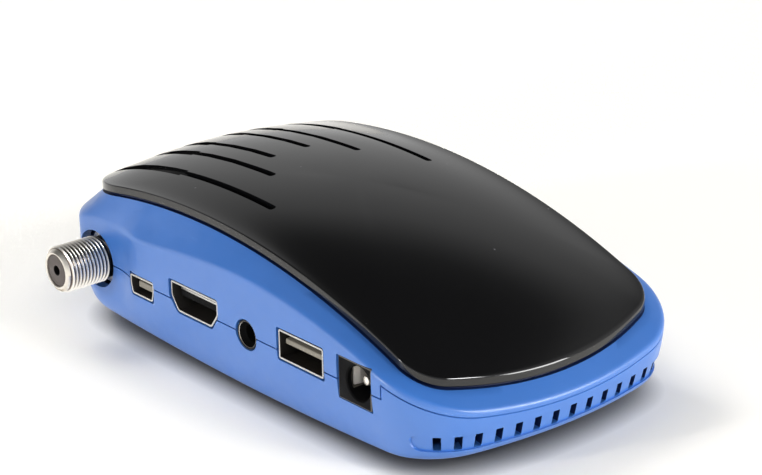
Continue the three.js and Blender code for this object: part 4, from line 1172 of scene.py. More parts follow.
def clip_tools(share):
    """A leg with a hook that grips the deck from below, and the hole that it goes through."""
    x, y = place_of(share)
    outward = math.copysign(1, share[1])
    left, right = x - CLIP_HALF_WIDTH, x + CLIP_HALF_WIDTH
    hook_y = abs(y - CENTRE_Y) + CLIP_HALF_THICKNESS + HOOK_REACH
    lowest = min(crown_at(end - CENTRE_X, hook_y) for end in (left, right))
    hook_top = lowest - COVER_GAP - WALL - CLEARANCE
    leg_top = crown_at(x - CENTRE_X, y - CENTRE_Y) + COVER_THICKNESS / 2
    inner, outer = y - outward * CLIP_HALF_THICKNESS, y + outward * CLIP_HALF_THICKNESS
    hooked = outer + outward * HOOK_REACH
    hook_low = hook_top - HOOK_HEIGHT
    leg = block((left, min(inner, outer), hook_low), (right, max(inner, outer), leg_top))
    hook = block((left, min(inner, hooked), hook_low), (right, max(inner, hooked), hook_top))
    half_hole = CLIP_HALF_THICKNESS + CLEARANCE
    hole = block((left - CLEARANCE, y - half_hole, SEAM_HEIGHT), (right + CLEARANCE, y + half_hole, TOP))
    return add(leg, hook), hole


for share in CLIP_SHARES:
    clip, hole = clip_tools(share)
    add(cover, clip)
    cut(upper_case, hole)
print("cover with clips:", len(cover.data.polygons))

# %% [markdown]
# ## Keeping the gloss smooth
# A boolean leaves long thin faces round each cut, and on a glossy surface their shading would show as
# streaks. So each piece keeps an uncut copy of itself: wherever a face still lies on that copy, its
# corners take the copy's smooth normals, and only the cut walls keep their own.

# %% Corner normals from the uncut skin
def normals_from(guide, piece, near=0.02, alike=0.92, slack=0.2):
    """Corner normals of a cut piece, taken from its uncut guide wherever the two still agree."""
    settle(smoothed(guide, 30))
    mesh = guide.data
    tree = BVHTree.FromPolygons([v.co for v in mesh.vertices], [p.vertices for p in mesh.polygons])
    corner_normals = [loop.vector.copy() for loop in mesh.corner_normals]
    smoothed(piece, 30)
    wanted = [loop.vector.copy() for loop in piece.data.corner_normals]
    kept = 0
    for polygon in piece.data.polygons:
        place, normal, face, distance = tree.find_nearest(polygon.center)
        if distance > near * MM or normal.dot(polygon.normal) < alike:
            continue
        kept += 1
        for corner in polygon.loop_indices:
            point = piece.data.vertices[piece.data.loops[corner].vertex_index].co
            hits = tree.find_nearest_range(point, near * MM)
            if not hits:
                continue
            place, normal, face, distance = max(hits, key=lambda hit: hit[1].dot(polygon.normal))
            polygon_on_guide = mesh.polygons[face]
            points = [mesh.vertices[index].co for index in polygon_on_guide.vertices]
            weights = poly_3d_calc(points, place)
            mixed_normal = Vector()
            for weight, index in zip(weights, polygon_on_guide.loop_indices):
                mixed_normal += corner_normals[index] * weight
            if mixed_normal.normalized().dot(polygon.normal) > alike - slack:
                wanted[corner] = mixed_normal.normalized()
    piece.data.normals_split_custom_set(wanted)
    print(f"{kept} of {len(piece.data.polygons)} faces take the uncut skin's normals")
    return piece


for piece, guide in ((lower_case, shading_guide), (upper_case, shading_guide), (cover, cover_guide)):
    normals_from(guide, piece)
for guide in (shading_guide, cover_guide, hollow, middle_form):
    bpy.data.meshes.remove(guide.data)


# %% Hand over the case and the cover
hand_over(lower_case, "lower_case", blue_plastic, "blue_shell", "lower_shell")
hand_over(upper_case, "upper_case", blue_plastic, "blue_shell", "upper_shell")
hand_over(cover, "gloss_cover", black_gloss, "black_gloss", "top_cover")

# %% [markdown]
# ### Plastic in shade
# Inside the vent slots and in the groove under the cover's rim the real plastic lies so deep that it
# looks nearly black. Those faces are found by their place and get a second, darker finish, which is
# painted shade. The shape isn't changed by it, and no extra piece is needed.

# %% Shade inside the vent slots
SHADE_START, SHADE_END, SIDE_SLACK = 0.04, 3, 0.03


def deep_slots(piece, finish):
    """The walls inside the vent slots, found by their place, get dark blue as painted shade."""
    piece.data.materials.append(finish)
    places = vent_places()
    for face in piece.data.polygons:
        x, y, z = face.center / MM - Vector((CENTRE_X, CENTRE_Y, 0))
        if not STRIP_LOW < z < STRIP_HIGH or x < CASE["reach"] / 2:
            continue
        for place_x, place_y, out_x, out_y in places:
            across = abs((y - place_y) * out_x - (x - place_x) * out_y)
            outward = (x - place_x) * out_x + (y - place_y) * out_y
            start = -wall_inset(z) - STRIP_DEPTH - SHADE_START
            if across < VENT_WIDTH / 2 + SIDE_SLACK and -SHADE_END < outward < start:
                face.material_index = 1


def in_shade(piece):
    return sum(face.material_index == 1 for face in piece.data.polygons)


deep_slots(lower_case, painted_shade_blue)
print("faces in shade inside the slots:", in_shade(lower_case))

# %% Shade under the cover's rim
RIM_SLACK = 0.05


def shade_under_cover(piece, finish):
    """The groove and the deck under the cover's rim get dark blue as painted shade."""
    piece.data.materials.append(finish)
    rims = outline(COVER, *FINE_STEPS)
    nearest = KDTree(len(rims))
    for index, (x, y, out_x, out_y) in enumerate(rims):
        nearest.insert((x, y, 0), index)
    nearest.balance()
    for face in piece.data.polygons:
        x, y, z = face.center / MM - Vector((CENTRE_X, CENTRE_Y, 0))
        place, index, distance = nearest.find((x, y, 0))
        outward = (x - place.x) * rims[index][2] + (y - place.y) * rims[index][3]
        if outward < -RIM_SLACK and face.normal.z > 0 and z > SEAM_HEIGHT / 2:
            face.material_index = 1


shade_under_cover(upper_case, painted_shade_blue)
print("faces in shade under the rim:", in_shade(upper_case))

# %% [markdown]
# ## The aerial socket
# An F connector is turned from brass and plated with nickel. Its barrel is a lathe profile. The thread
# is a real helix: a small triangle carried round and along the barrel, growing out of the surface at
# both ends of the thread, and united with the barrel. Shade is painted into the grooves and a
# highlight onto the crests, so the thread's finish is mixed by the distance from the barrel's axis.
# Names that start with FC hold sizes of the F connector.

# %% Barrel and thread
FC_TIP = box_of("f_connector_body")[0][1]
FC_RADIUS, FC_VALLEY, FC_BORE = 4.75, 4.3, 3.6
FC_ROOT, FC_CHAMFER = FC_VALLEY - 0.1, 0.75
FC_PITCH, FC_TURNS, FC_LIP = 0.82, 12, 0.45
FLANGE_RADIUS, FLANGE_THICKNESS, FLANGE_BACK = 5.6, 1.2, WALL_Y + 5.2
NECK_RADIUS, NECK_LENGTH, PIN_HOLE = 2.6, 1.5, 1.15


def barrel():
    """The threaded barrel, the flange behind it and the neck into the tuner, with a bore in front."""
    flange_front, neck_back = FLANGE_BACK - FLANGE_THICKNESS, FLANGE_BACK + NECK_LENGTH
    return turned([
        (FC_BORE - 0.15, FC_TIP), (FC_BORE + 0.05, FC_TIP), (FC_BORE + 0.15, FC_TIP + 0.08),
        (FC_VALLEY, FC_TIP + FC_CHAMFER), (FC_VALLEY, flange_front),
        (FLANGE_RADIUS - 0.2, flange_front),
        (FLANGE_RADIUS, FLANGE_BACK - 1.0), (FLANGE_RADIUS, FLANGE_BACK - 0.1),
        (FLANGE_RADIUS - 0.1, FLANGE_BACK), (NECK_RADIUS, FLANGE_BACK), (NECK_RADIUS, neck_back),
        (PIN_HOLE, neck_back), (PIN_HOLE, flange_front), (FC_BORE - 0.3, flange_front),
        (FC_BORE - 0.3, FC_TIP + 0.15),
    ], aerial)


def thread():
    """A helix whose triangle grows out of the barrel over the first half turn and back over the last."""
    rings = []
    steps_round = 48
    steps = FC_TURNS * steps_round
    half = 0.5 * FC_PITCH
    for step in range(steps + 1):
        angle = 2 * math.pi * step / steps_round
        grown = min(1, step / (steps_round / 2), (steps - step) / (steps_round / 2))
        y = FC_TIP + FC_LIP + 0.1 + FC_PITCH * step / steps_round
        crest = FC_VALLEY + (FC_RADIUS - FC_VALLEY) * grown
        section = [(FC_ROOT, -half), (crest, -half * 0.15), (crest, half * 0.15), (FC_ROOT, half)]
        rings.append([
            (aerial[0] + radius * math.cos(angle), y + across, aerial[1] - radius * math.sin(angle))
            for radius, across in section
        ])
    return skin(rings)


f_body = smoothed(add(barrel(), thread()), 38)
hand_over(f_body, "f_connector_barrel", nickel, "nickel", "f_connector_body")

# %% Painted shade in the thread's grooves
# Painted shade down in the grooves, and a painted highlight on the crests.
GROOVE_SHADE_COLOR, CREST_HIGHLIGHT_COLOR = paint(122, 108, 98), paint(252, 247, 238)
GROOVE_TOP, CREST_FOOT = FC_VALLEY + 0.04, FC_VALLEY + 0.24


def thread_finish():
    """Nickel with painted shade down in the thread's grooves and a painted highlight on its crests."""
    finish, tree, shader = new_finish("nickel_thread_painted_light")
    from_axis = tree.nodes.new("ShaderNodeMapping")
    from_axis.inputs["Location"].default_value = Vector((-aerial[0], 0, -aerial[1])) * MM
    from_axis.inputs["Scale"].default_value = (1, 0, 1)
    place = tree.nodes.new("ShaderNodeTexCoord")
    tree.links.new(place.outputs["Object"], from_axis.inputs["Vector"])
    radius = tree.nodes.new("ShaderNodeVectorMath")
    radius.operation = "LENGTH"
    tree.links.new(from_axis.outputs["Vector"], radius.inputs[0])
    height = tree.nodes.new("ShaderNodeMapRange")
    height.inputs["From Min"].default_value = GROOVE_TOP * MM
    height.inputs["From Max"].default_value = CREST_FOOT * MM
    tree.links.new(radius.outputs["Value"], height.inputs["Value"])
    color = two_colors(tree, height.outputs["Result"], GROOVE_SHADE_COLOR, CREST_HIGHLIGHT_COLOR)
    tree.links.new(color, shader.inputs["Base Color"])
    shader.inputs["Metallic"].default_value = 1
    shader.inputs["Roughness"].default_value = 0.3
    return finish


def dress_barrel(piece):
    """The thread gets its own finish, and the flange, deep in its hole, painted shade."""
    piece.data.materials.append(thread_finish())
    piece.data.materials.append(painted_shade_steel)
    axis = Vector((aerial[0], 0, aerial[1])) * MM
    for face in piece.data.polygons:
        radius = (Vector((face.center.x, 0, face.center.z)) - axis).length / MM
        if radius > FC_RADIUS + 0.1:
            face.material_index = 2
        elif radius > FC_ROOT and face.center.y / MM > FC_TIP + FC_CHAMFER - 0.05:
            face.material_index = 1


dress_barrel(f_body)
print("barrel finishes:", [finish.name for finish in f_body.data.materials])

# %% Insulator and contact
def paint_shade_in_bore(piece, centre, radius, finish, deep=WALL_Y + 5):
    """Faces of a bore along y, found by their distance from its axis, get a dark finish as painted
    shade.
    """
    piece.data.materials.append(finish)
    axis = Vector((centre[0], 0, centre[1])) * MM
    for face in piece.data.polygons:
        out = Vector((face.center.x, 0, face.center.z)) - axis
        faces_axis = face.normal.dot(out) < 0
        if out.length < radius * MM and (faces_axis or face.center.y > deep * MM):
            face.material_index = 1


INSULATOR_FACE, INSULATOR_BACK = FC_TIP + 0.25, FLANGE_BACK - 1.5
INSULATOR_RADIUS, INSULATOR_HOLE, HOLE_MOUTH = 3.25, 0.95, 1.05
CONTACT_RADIUS = 0.55
insulator = turned([
    (INSULATOR_HOLE, INSULATOR_FACE + 0.9), (INSULATOR_HOLE, INSULATOR_FACE + 0.1),
    (HOLE_MOUTH, INSULATOR_FACE), (INSULATOR_RADIUS - 0.2, INSULATOR_FACE),
    (INSULATOR_RADIUS, INSULATOR_FACE + 0.12), (INSULATOR_RADIUS, INSULATOR_BACK),
    (INSULATOR_HOLE, INSULATOR_BACK),
], aerial)
hand_over(smoothed(insulator), "f_connector_plug", insulator_plastic, "grey_plastic",
          "f_connector_insulator")
# The hole in the insulator is painted black as painted shade.
paint_shade_in_bore(insulator, aerial, HOLE_MOUTH, black_plastic_and_shade)
contact_low, contact_high = box_of("f_connector_contact")
contact = turned([
    (AXIS_GAP, contact_low[1]), (CONTACT_RADIUS - 0.2, contact_low[1] + 0.05),
    (CONTACT_RADIUS, contact_low[1] + 0.35), (CONTACT_RADIUS, contact_high[1] - 0.1),
    (CONTACT_RADIUS - 0.1, contact_high[1]), (AXIS_GAP, contact_high[1]),
], aerial, 32)
hand_over(smoothed(contact), "f_connector_pin", gold_contact, "gold_contact",
          "f_connector_contact")


# %% [markdown]
# ## Socket shells of folded sheet
# Each socket's shell is plated steel sheet, 0.35 mm thick, folded to its outline. It starts as the
# outline, is pushed back to its depth, loses its two end faces, and gets its thickness from Solidify.
# A fine bevel turns the cut edges so that they catch the light. The inside of a shell mirrors only
# the dark behind it, so it gets a darker finish than the outside: painted shade.

# %% Sheet shells
LUG_WIDTH, LUG_HEIGHT, LUG_FRONT = 1.2, 2, WALL_Y + 7
FINGER_WIDTH, SLIT_WIDTH, SLIT_LENGTH = 1.7, 0.25, 6


def sheet_tube(corners, radius, front, back):
    """A folded sheet shell, open at both ends."""
    points = rounded(moved_in(corners, CLEARANCE), radius)
    piece = sideways_prism(points, WALL_Y + front, WALL_Y + back)
    only(piece)
    bpy.ops.object.mode_set(mode="EDIT")
    bpy.ops.mesh.select_all(action="DESELECT")
    shape = bmesh.from_edit_mesh(piece.data)
    for face in shape.faces:
        face.select = abs(face.normal.y) > 0.9
    bpy.ops.mesh.delete(type="FACE")
    bpy.ops.object.mode_set(mode="OBJECT")
    apply_modifier(piece, "SOLIDIFY", thickness=SHEET * MM, offset=-1, use_even_offset=True)
    return piece


def paint_shade_inside(piece, finish, start=WALL_Y + 0.55):
    """Faces that look at the shell's middle line get painted shade, darker than the plated outside."""
    piece.data.materials.append(finish)
    box = [Vector(corner) for corner in piece.bound_box]
    middle = sum(box, Vector()) / 8
    for face in piece.data.polygons:
        toward_middle = Vector((middle.x - face.center.x, 0, middle.z - face.center.z)).normalized()
        if toward_middle.dot(face.normal) > 0.3 and face.center.y > start * MM:
            face.material_index = 1


def with_lugs(piece, node, bottom, back):
    """Two bent strips at the sides that carry a lifted shell on the board."""
    low, high = box_of(node)
    x = middle_of(node)[0]
    half_wide = bottom / 2
    for side in (-1, 1):
        inner, outer = sorted((x + side * (half_wide - LUG_WIDTH), x + side * half_wide))
        add(piece, block((inner, LUG_FRONT, low[2]), (outer, WALL_Y + back, low[2] + LUG_HEIGHT)))
    return piece


def spring_fingers(piece, x, z, spacing, reach):
    """Two fingers in the shell's top that grip the plug, each between a pair of slits."""
    middle = WALL_Y + reach
    for side in (-1, 1):
        left = x + side * spacing - FINGER_WIDTH / 2 - SLIT_WIDTH
        slit = block((left, middle - SLIT_LENGTH / 2, z - 1),
                     (left + SLIT_WIDTH, middle + SLIT_LENGTH / 2, z + 1))
        other = copy_of(slit, (FINGER_WIDTH + SLIT_WIDTH, 0, 0))
        cut(piece, slit, other)
    return piece


# %% The three shells
hdmi_x, hdmi_top = middle_of("hdmi_shell")[0], box_of("hdmi_shell")[1][2]
usb_x, usb_top = middle_of("usb_shell")[0], box_of("usb_shell")[1][2]
mini_shell = sheet_tube(mini_corners, radius=0.45, front=0.35, back=MINI_DEPTH)
hdmi_shell = sheet_tube(hdmi_corners, radius=0.6, front=0.3, back=HDMI_DEPTH)
usb_shell = sheet_tube(usb_corners, radius=0.5, front=0.25, back=USB_DEPTH)
spring_fingers(hdmi_shell, hdmi_x, hdmi_top, spacing=3.6, reach=5.5)
spring_fingers(usb_shell, usb_x, usb_top, spacing=3.2, reach=7)
with_lugs(hdmi_shell, "hdmi_shell", bottom=10.3, back=HDMI_DEPTH)
with_lugs(usb_shell, "usb_shell", bottom=12.85, back=USB_DEPTH)
SHELLS = (
    (mini_shell, "mini_usb_sheet", "mini_usb_shell"),
    (hdmi_shell, "hdmi_sheet", "hdmi_shell"),
    (usb_shell, "usb_sheet", "usb_shell"),
)
for shell, name, node in SHELLS:
    hand_over(smoothed(bevelled(shell, 0.06, 2)), name, plated_steel, "nickel", node)
    # The shell's inside gets painted shade.
    paint_shade_inside(shell, painted_shade_steel)


# %% [markdown]
# ## Tongues with their contacts
# Inside each shell a plastic tongue stands forward from a block that fills the back. The contacts lie
# in rows on it as thin gold strips, a little proud of the plastic. One strip is modelled and copied.
# A thin plated strip at the HDMI tongue's edge is what catches the light deep in that socket.

# %% A tongue and its rows of contacts
def contact_rows(x, z_top, z_bottom, front, back, count, pitch, width, proud=0.06):
    """Strips above and below a tongue, copied from one bevelled strip."""
    half = 0.1
    first = bevelled(block((-width / 2, WALL_Y + front, -half), (width / 2, WALL_Y + back, half)),
                     0.03, 1)
    strips = []
    for index in range(count):
        across = x + (index - (count - 1) / 2) * pitch
        for z in (z_top + proud - half, z_bottom - proud + half):
            strips.append(copy_of(first, (across, 0, z)))
    bpy.data.meshes.remove(first.data)
    return joined(strips)


def rear_block(corners, root, back):
    """The plastic that fills a shell behind its tongue."""
    points = rounded(moved_in(corners, 2 * CLEARANCE + SHEET), 0.3)
    return sideways_prism(points, root, back)


def tongue_of(corners, x, z, width, thickness, front, root, back):
    tongue = bevelled(block((x - width / 2, WALL_Y + front, z - thickness / 2),
                            (x + width / 2, WALL_Y + root + 1, z + thickness / 2)), 0.18, 3)
    return add(tongue, rear_block(corners, WALL_Y + root, WALL_Y + back))


# %% The mini-USB tongue and its contacts
MINI_TONGUE_THICKNESS = 1.3
mini_x, mini_z = axis_of("mini_usb_tongue")
mini_blade = tongue_of(mini_corners, mini_x, mini_z, width=4.6, thickness=MINI_TONGUE_THICKNESS,
                       front=1.2, root=6.75, back=8.7)
hand_over(smoothed(mini_blade), "mini_usb_blade", tongue_plastic, "white_plastic", "mini_usb_tongue")
mini_half = MINI_TONGUE_THICKNESS / 2
mini_strips = contact_rows(mini_x, mini_z + mini_half, mini_z - mini_half, front=1.6, back=6.7,
                           count=5, pitch=0.8, width=0.42)
hand_over(mini_strips, "mini_usb_strips", gold_contact, "gold_contact")

# %% The HDMI tongue, its bright edge and its contacts
HDMI_TONGUE_THICKNESS, HDMI_TONGUE_RISE = 1.7, 0.12
EDGE_STRIP_WIDTH, EDGE_STRIP_FRONT, EDGE_STRIP_BACK = 11.2, WALL_Y + 1.35, WALL_Y + 2.4
EDGE_STRIP_LOW, EDGE_STRIP_HIGH = 0.55, 0.98
hdmi_tongue_top = box_of("hdmi_tongue")[1][2]
hdmi_tongue_z = (hdmi_tongue_top + 2 * CLEARANCE + SHEET - HDMI_HEIGHT / 2
                 + HDMI_TONGUE_RISE * HDMI_HEIGHT)
hdmi_blade = tongue_of(hdmi_corners, hdmi_x, hdmi_tongue_z, width=11.4,
                       thickness=HDMI_TONGUE_THICKNESS, front=1.4, root=8.25, back=10.7)
hand_over(smoothed(hdmi_blade), "hdmi_blade", black_plastic_and_shade, "black_plastic", "hdmi_tongue")
hdmi_edge = bevelled(block(
    (hdmi_x - EDGE_STRIP_WIDTH / 2, EDGE_STRIP_FRONT, hdmi_tongue_z + EDGE_STRIP_LOW),
    (hdmi_x + EDGE_STRIP_WIDTH / 2, EDGE_STRIP_BACK, hdmi_tongue_z + EDGE_STRIP_HIGH)), 0.1, 2)
hand_over(smoothed(hdmi_edge), "hdmi_edge_strip", plated_steel, "nickel")
hdmi_half = HDMI_TONGUE_THICKNESS / 2
hdmi_strips = contact_rows(hdmi_x, hdmi_tongue_z + hdmi_half, hdmi_tongue_z - hdmi_half, front=1.9,
                           back=8.2, count=10, pitch=1.0, width=0.5)
hand_over(hdmi_strips, "hdmi_strips", gold_contact, "gold_contact")

# %% [markdown]
# ### The USB tongue
# The tongue hangs near the shell's top and has four grooves below, in which the sprung contact strips
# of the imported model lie. Those strips move, so they stay as they are and only get their gold.

# %% USB tongue with its grooves
USB_TONGUE_WIDTH, USB_TONGUE_THICKNESS, USB_TONGUE_DROP = 11, 1.05, 2.55
USB_TONGUE_FRONT, USB_ROOT, USB_BACK = WALL_Y + 1.1, WALL_Y + 10.2, WALL_Y + 13.7
USB_GROOVE_DEPTH, STRIP_COUNT = 0.55, 4
usb_tongue_bottom = usb_top - SHEET - USB_TONGUE_DROP
usb_blade = bevelled(block(
    (usb_x - USB_TONGUE_WIDTH / 2, USB_TONGUE_FRONT, usb_tongue_bottom),
    (usb_x + USB_TONGUE_WIDTH / 2, USB_ROOT + 1, usb_tongue_bottom + USB_TONGUE_THICKNESS)), 0.25, 3)
add(usb_blade, rear_block(usb_corners, USB_ROOT, USB_BACK))
for number in range(1, STRIP_COUNT + 1):
    low, high = box_of(f"usb_contact_{number}")
    cut(usb_blade, block((low[0] - CLEARANCE, low[1] - CLEARANCE, usb_tongue_bottom - 1),
                         (high[0] + CLEARANCE, WALL_Y + 18, usb_tongue_bottom + USB_GROOVE_DEPTH)))
hand_over(smoothed(usb_blade), "usb_blade", tongue_plastic, "white_plastic", "usb_tongue")

# %% [markdown]
# ## The audio-video jack
# A round black nose fills its opening, with a nickel sleeve set in its mouth. Behind it is a square
# body with slots for the two springs that touch the plug's tip and ring.

# %% Housing with its nose, bore and spring slots
AV_BORE, AV_SEAT, AV_NOSE = 1.9, 2.64, 2.85
SEAT_BACK = WALL_Y + 3.6
av_low, av_high = box_of("av_jack_housing")
av_nose = turned([
    (AV_BORE, WALL_Y + 3.7), (AV_SEAT, SEAT_BACK), (AV_SEAT, WALL_Y + 0.4), (2.7, WALL_Y + 0.3),
    (2.78, WALL_Y + 0.3), (AV_NOSE, WALL_Y + 0.4), (AV_NOSE, WALL_Y + 5), (AV_BORE, WALL_Y + 5),
], av_jack, 64)
av_body = bevelled(block((av_low[0], WALL_Y + 3, av_low[2]), av_high), 0.25, 2)
cut(av_body, rod("Y", av_jack, AV_BORE, WALL_Y - OVERRUN, WALL_Y + 13.2),
    rod("Y", av_jack, AV_SEAT, WALL_Y - OVERRUN, SEAT_BACK))
add(av_body, av_nose)
for spring in ("av_tip_spring", "av_ring_spring"):
    low, high = box_of(spring)
    spring_x = middle_of(spring)[0]
    inward = 1 if spring_x < av_jack[0] else -1
    near, far = sorted((spring_x - inward * 2.5, av_jack[0]))
    cut(av_body, block((near, low[1] - CLEARANCE, low[2] - CLEARANCE),
                       (far, high[1] + CLEARANCE, high[2] + CLEARANCE)))
hand_over(smoothed(av_body), "av_jack_body", black_plastic, "black_plastic", "av_jack_housing")

# %% The sleeve in its mouth
SLEEVE_FRONT, SLEEVE_STEP = WALL_Y + 0.4, WALL_Y + 3.5
SLEEVE_BORE, SLEEVE_NECK, SLEEVE_RADIUS = 1.85, 2.2, 2.62
sleeve_back = box_of("av_sleeve_contact")[1][1]
av_sleeve = turned([
    (SLEEVE_BORE, SLEEVE_FRONT + 1.2), (2.44, SLEEVE_FRONT + 0.3), (2.48, SLEEVE_FRONT + 0.07),
    (2.54, SLEEVE_FRONT), (SLEEVE_RADIUS, SLEEVE_FRONT + 0.1), (SLEEVE_RADIUS, SLEEVE_STEP),
    (SLEEVE_NECK, SLEEVE_STEP), (SLEEVE_NECK, sleeve_back), (SLEEVE_BORE, sleeve_back),
], av_jack, 64)
hand_over(smoothed(av_sleeve), "av_jack_sleeve", nickel, "gold_contact", "av_sleeve_contact")
# The sleeve's inside is painted black as painted shade.
paint_shade_inside(av_sleeve, black_plastic_and_shade, SLEEVE_FRONT + 0.16)

# %% [markdown]
# ## The power jack
# The jack is a moulded block whose face lies just inside the wall. Its round mouth holds the centre
# pin, and a bent leaf stands at the mouth's side, where it presses on the plug's barrel.

# %% The block with its mouth and the leaf's slot
DC_BORE, DC_BORE_BACK, DC_PIN_HOLE = 3.3, WALL_Y + 11, 1.35
dc_mouth = axis_of("dc_centre_pin")
dc_low, dc_high = box_of("dc_jack_housing")
leaf_low, leaf_high = box_of("dc_leaf_spring")
dc_body = bevelled(block((dc_low[0], WALL_Y + 0.25, dc_high[2] - 8.1),
                         (dc_high[0], WALL_Y + 2.7, dc_high[2])), 0.15, 2)
dc_rear = bevelled(block((dc_low[0], WALL_Y + 2.4, dc_low[2]),
                         (dc_high[0], dc_high[1], dc_high[2] - APART)), 0.15, 2)
add(dc_body, dc_rear)
dc_bore = turned([
    (AXIS_GAP, WALL_Y - 1), (4.6, WALL_Y - 1), (DC_BORE, WALL_Y + 0.5), (DC_BORE, DC_BORE_BACK),
    (AXIS_GAP, DC_BORE_BACK),
], dc_mouth, 64)
cut(dc_body, dc_bore, rod("Y", dc_mouth, DC_PIN_HOLE, WALL_Y, WALL_Y + 18))
leaf_room = block((leaf_low[0] - 1.1, leaf_low[1] - 0.6, leaf_low[2] - CLEARANCE),
                  [value + CLEARANCE for value in leaf_high])
cut(dc_body, leaf_room)
hand_over(smoothed(dc_body), "dc_jack_block", jack_plastic, "grey_plastic", "dc_jack_housing")
# The mouth's bore is painted black as painted shade.
paint_shade_in_bore(dc_body, dc_mouth, DC_BORE + 0.2, black_plastic_and_shade)

# %% The centre pin
PIN_RADIUS = 1.05
pin_low, pin_high = box_of("dc_centre_pin")
pin_tip, pin_back = pin_low[1], pin_high[1]
dc_pin = turned([
    (AXIS_GAP, pin_tip), (PIN_RADIUS - 0.6, pin_tip + 0.03), (PIN_RADIUS - 0.25, pin_tip + 0.18),
    (PIN_RADIUS - 0.05, pin_tip + 0.5), (PIN_RADIUS, pin_tip + 0.9), (PIN_RADIUS, pin_back),
    (AXIS_GAP, pin_back),
], dc_mouth, 48)
hand_over(smoothed(dc_pin), "dc_jack_pin", nickel, "gold_contact", "dc_centre_pin")

# %% [markdown]
# ## Feet and screws
# Four soft feet stand in round pockets of the base, and four screws beside them hold the case. Each is
# modelled once, then copied to the other places.

# %% One foot and one case screw
FOOT_RADIUS = 4.5
HEAD_RADIUS, HEAD_HEIGHT, HEAD_PLAY = 2.6, 1.8, 0.05
SHANK_RADIUS, SHANK_TOP = 1.3, 13.2
CROSS_WIDTH, CROSS_BAR, CROSS_FLOOR = 3, 0.56, -0.9


def foot_at_middle():
    """A round foot whose underside has a shallow dish inside a flat ring."""
    height = box_of("foot_1")[1][2]
    foot = only(rod("Z", (0, 0), FOOT_RADIUS, 0, height, 64))
    bpy.ops.object.mode_set(mode="EDIT")
    bpy.ops.mesh.select_all(action="DESELECT")
    shape = bmesh.from_edit_mesh(foot.data)
    for face in shape.faces:
        face.select = face.normal.z < -0.9
    bpy.ops.mesh.inset(thickness=0.6 * MM)
    bpy.ops.mesh.inset(thickness=0.25 * MM, depth=-0.2 * MM)
    bpy.ops.object.mode_set(mode="OBJECT")
    return smoothed(bevelled(foot, 0.2, 3))


def screw_at_middle():
    """Origin at the head's seat: a pan head below it with a cross recess, and the shank above."""
    head = only(rod("Z", (0, 0), HEAD_RADIUS, -HEAD_HEIGHT - HEAD_PLAY, -HEAD_PLAY, 48))
    bevelled(head, 0.45, 4, 60)
    shank = rod("Z", (0, 0), SHANK_RADIUS, CROSS_FLOOR, SHANK_TOP, 24)
    add(head, shank)
    bar = bevelled(block((-CROSS_WIDTH / 2, -CROSS_BAR / 2, -3),
                         (CROSS_WIDTH / 2, CROSS_BAR / 2, CROSS_FLOOR)), 0.1, 1)
    other = copy_of(bar)
    other.matrix_world = Matrix.Rotation(math.pi / 2, 4, "Z")
    cut(head, bar, settle(other))
    return smoothed(head)


# %% Their copies at the other places
first_foot, first_screw = foot_at_middle(), screw_at_middle()
for index, place in enumerate(FOOT_PLACES):
    foot = copy_of(first_foot, (place[0], place[1], 0))
    hand_over(foot, f"rubber_foot_{index + 1}", foot_rubber, "foot_rubber", f"foot_{index + 1}")
for index, place in enumerate(SCREW_PLACES):
    screw = copy_of(first_screw, (place[0], place[1], SCREW_SEAT))
    hand_over(screw, f"case_bolt_{index + 1}", plated_steel, "steel", f"case_screw_{index + 1}")
for first in (first_foot, first_screw):
    bpy.data.meshes.remove(first.data)


# %% [markdown]
# ## Finishes for the pieces that stay
# The board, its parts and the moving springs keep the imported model's own shapes, which are right for
# them. They only get their finishes.

# %% Finishes for the inner parts
chip_black = surface("chip_moulding", paint(38, 38, 40), 0.55, mottle=0.08, patch=2, grain=0.1)
coil_finish = surface("ferrite_grey", paint(58, 57, 60), 0.6, mottle=0.1, patch=1.5, grain=0.15)
KEPT = {
    "main_board": board_green, "board_screw_1": plated_steel, "board_screw_2": plated_steel,
    "tuner_frame": tinned_sheet, "tuner_lid": tinned_sheet, "av_tip_spring": gold_contact,
    "av_ring_spring": gold_contact, "dc_leaf_spring": leaf_nickel_painted_glint, "thermal_pad": pad_silicone,
    "heat_sink": anodised, "main_processor": chip_black, "memory_chip": chip_black,
    "flash_chip": chip_black, "crystal": tinned_sheet, "core_regulator": chip_black,
    "aerial_regulator": chip_black, "power_inductor": coil_finish, "aerial_inductor": coil_finish,
    "capacitor_1": bare_can, "capacitor_2": bare_can, "capacitor_3": bare_can,
    "usb_contact_1": gold_contact, "usb_contact_2": gold_contact,
    "usb_contact_3": gold_contact, "usb_contact_4": gold_contact,
}
for node, finish in KEPT.items():
    materials = frame["nodes"][node].data.materials
    materials.clear()
    materials.append(finish)
shown = [name for name, node in frame["nodes"].items() if not node.hide_render]
print("nodes without a finish of their own:", sorted(set(shown) - set(KEPT)))

# %% [markdown]
# ## Floor, world and lights
# The photograph was taken on white in soft light. The floor is a large pale card that keeps the
# shadow, and it glows a little, so that the camera sees it white. Close under the case it has to stay
# dark, though: Ambient Occlusion nodes measure how open each place of the card is, and take the glow
# and some of the colour away where it isn't, which paints a contact shadow there. In mirror images
# the card glows a little more, because plated sockets show it from places where the lamps don't reach.

# %% A pale floor
FLOOR_SIZE = 6
FLOOR_COLOR = paint(244, 241, 234)
FLOOR_GLOW = 0.2
MIRROR_GLOW = 0.3
CONTACT_REACH = 0.022
CARD_SHADOW_REACH = 0.005


def number_node(tree, operation, first, second):
    """One sum, product or larger value of two sockets, or of a socket and a number."""
    node = tree.nodes.new("ShaderNodeMath")
    node.operation = operation
    tree.links.new(first, node.inputs[0])
    if isinstance(second, float):
        node.inputs[1].default_value = second
    else:
        tree.links.new(second, node.inputs[1])
    return node.outputs["Value"]


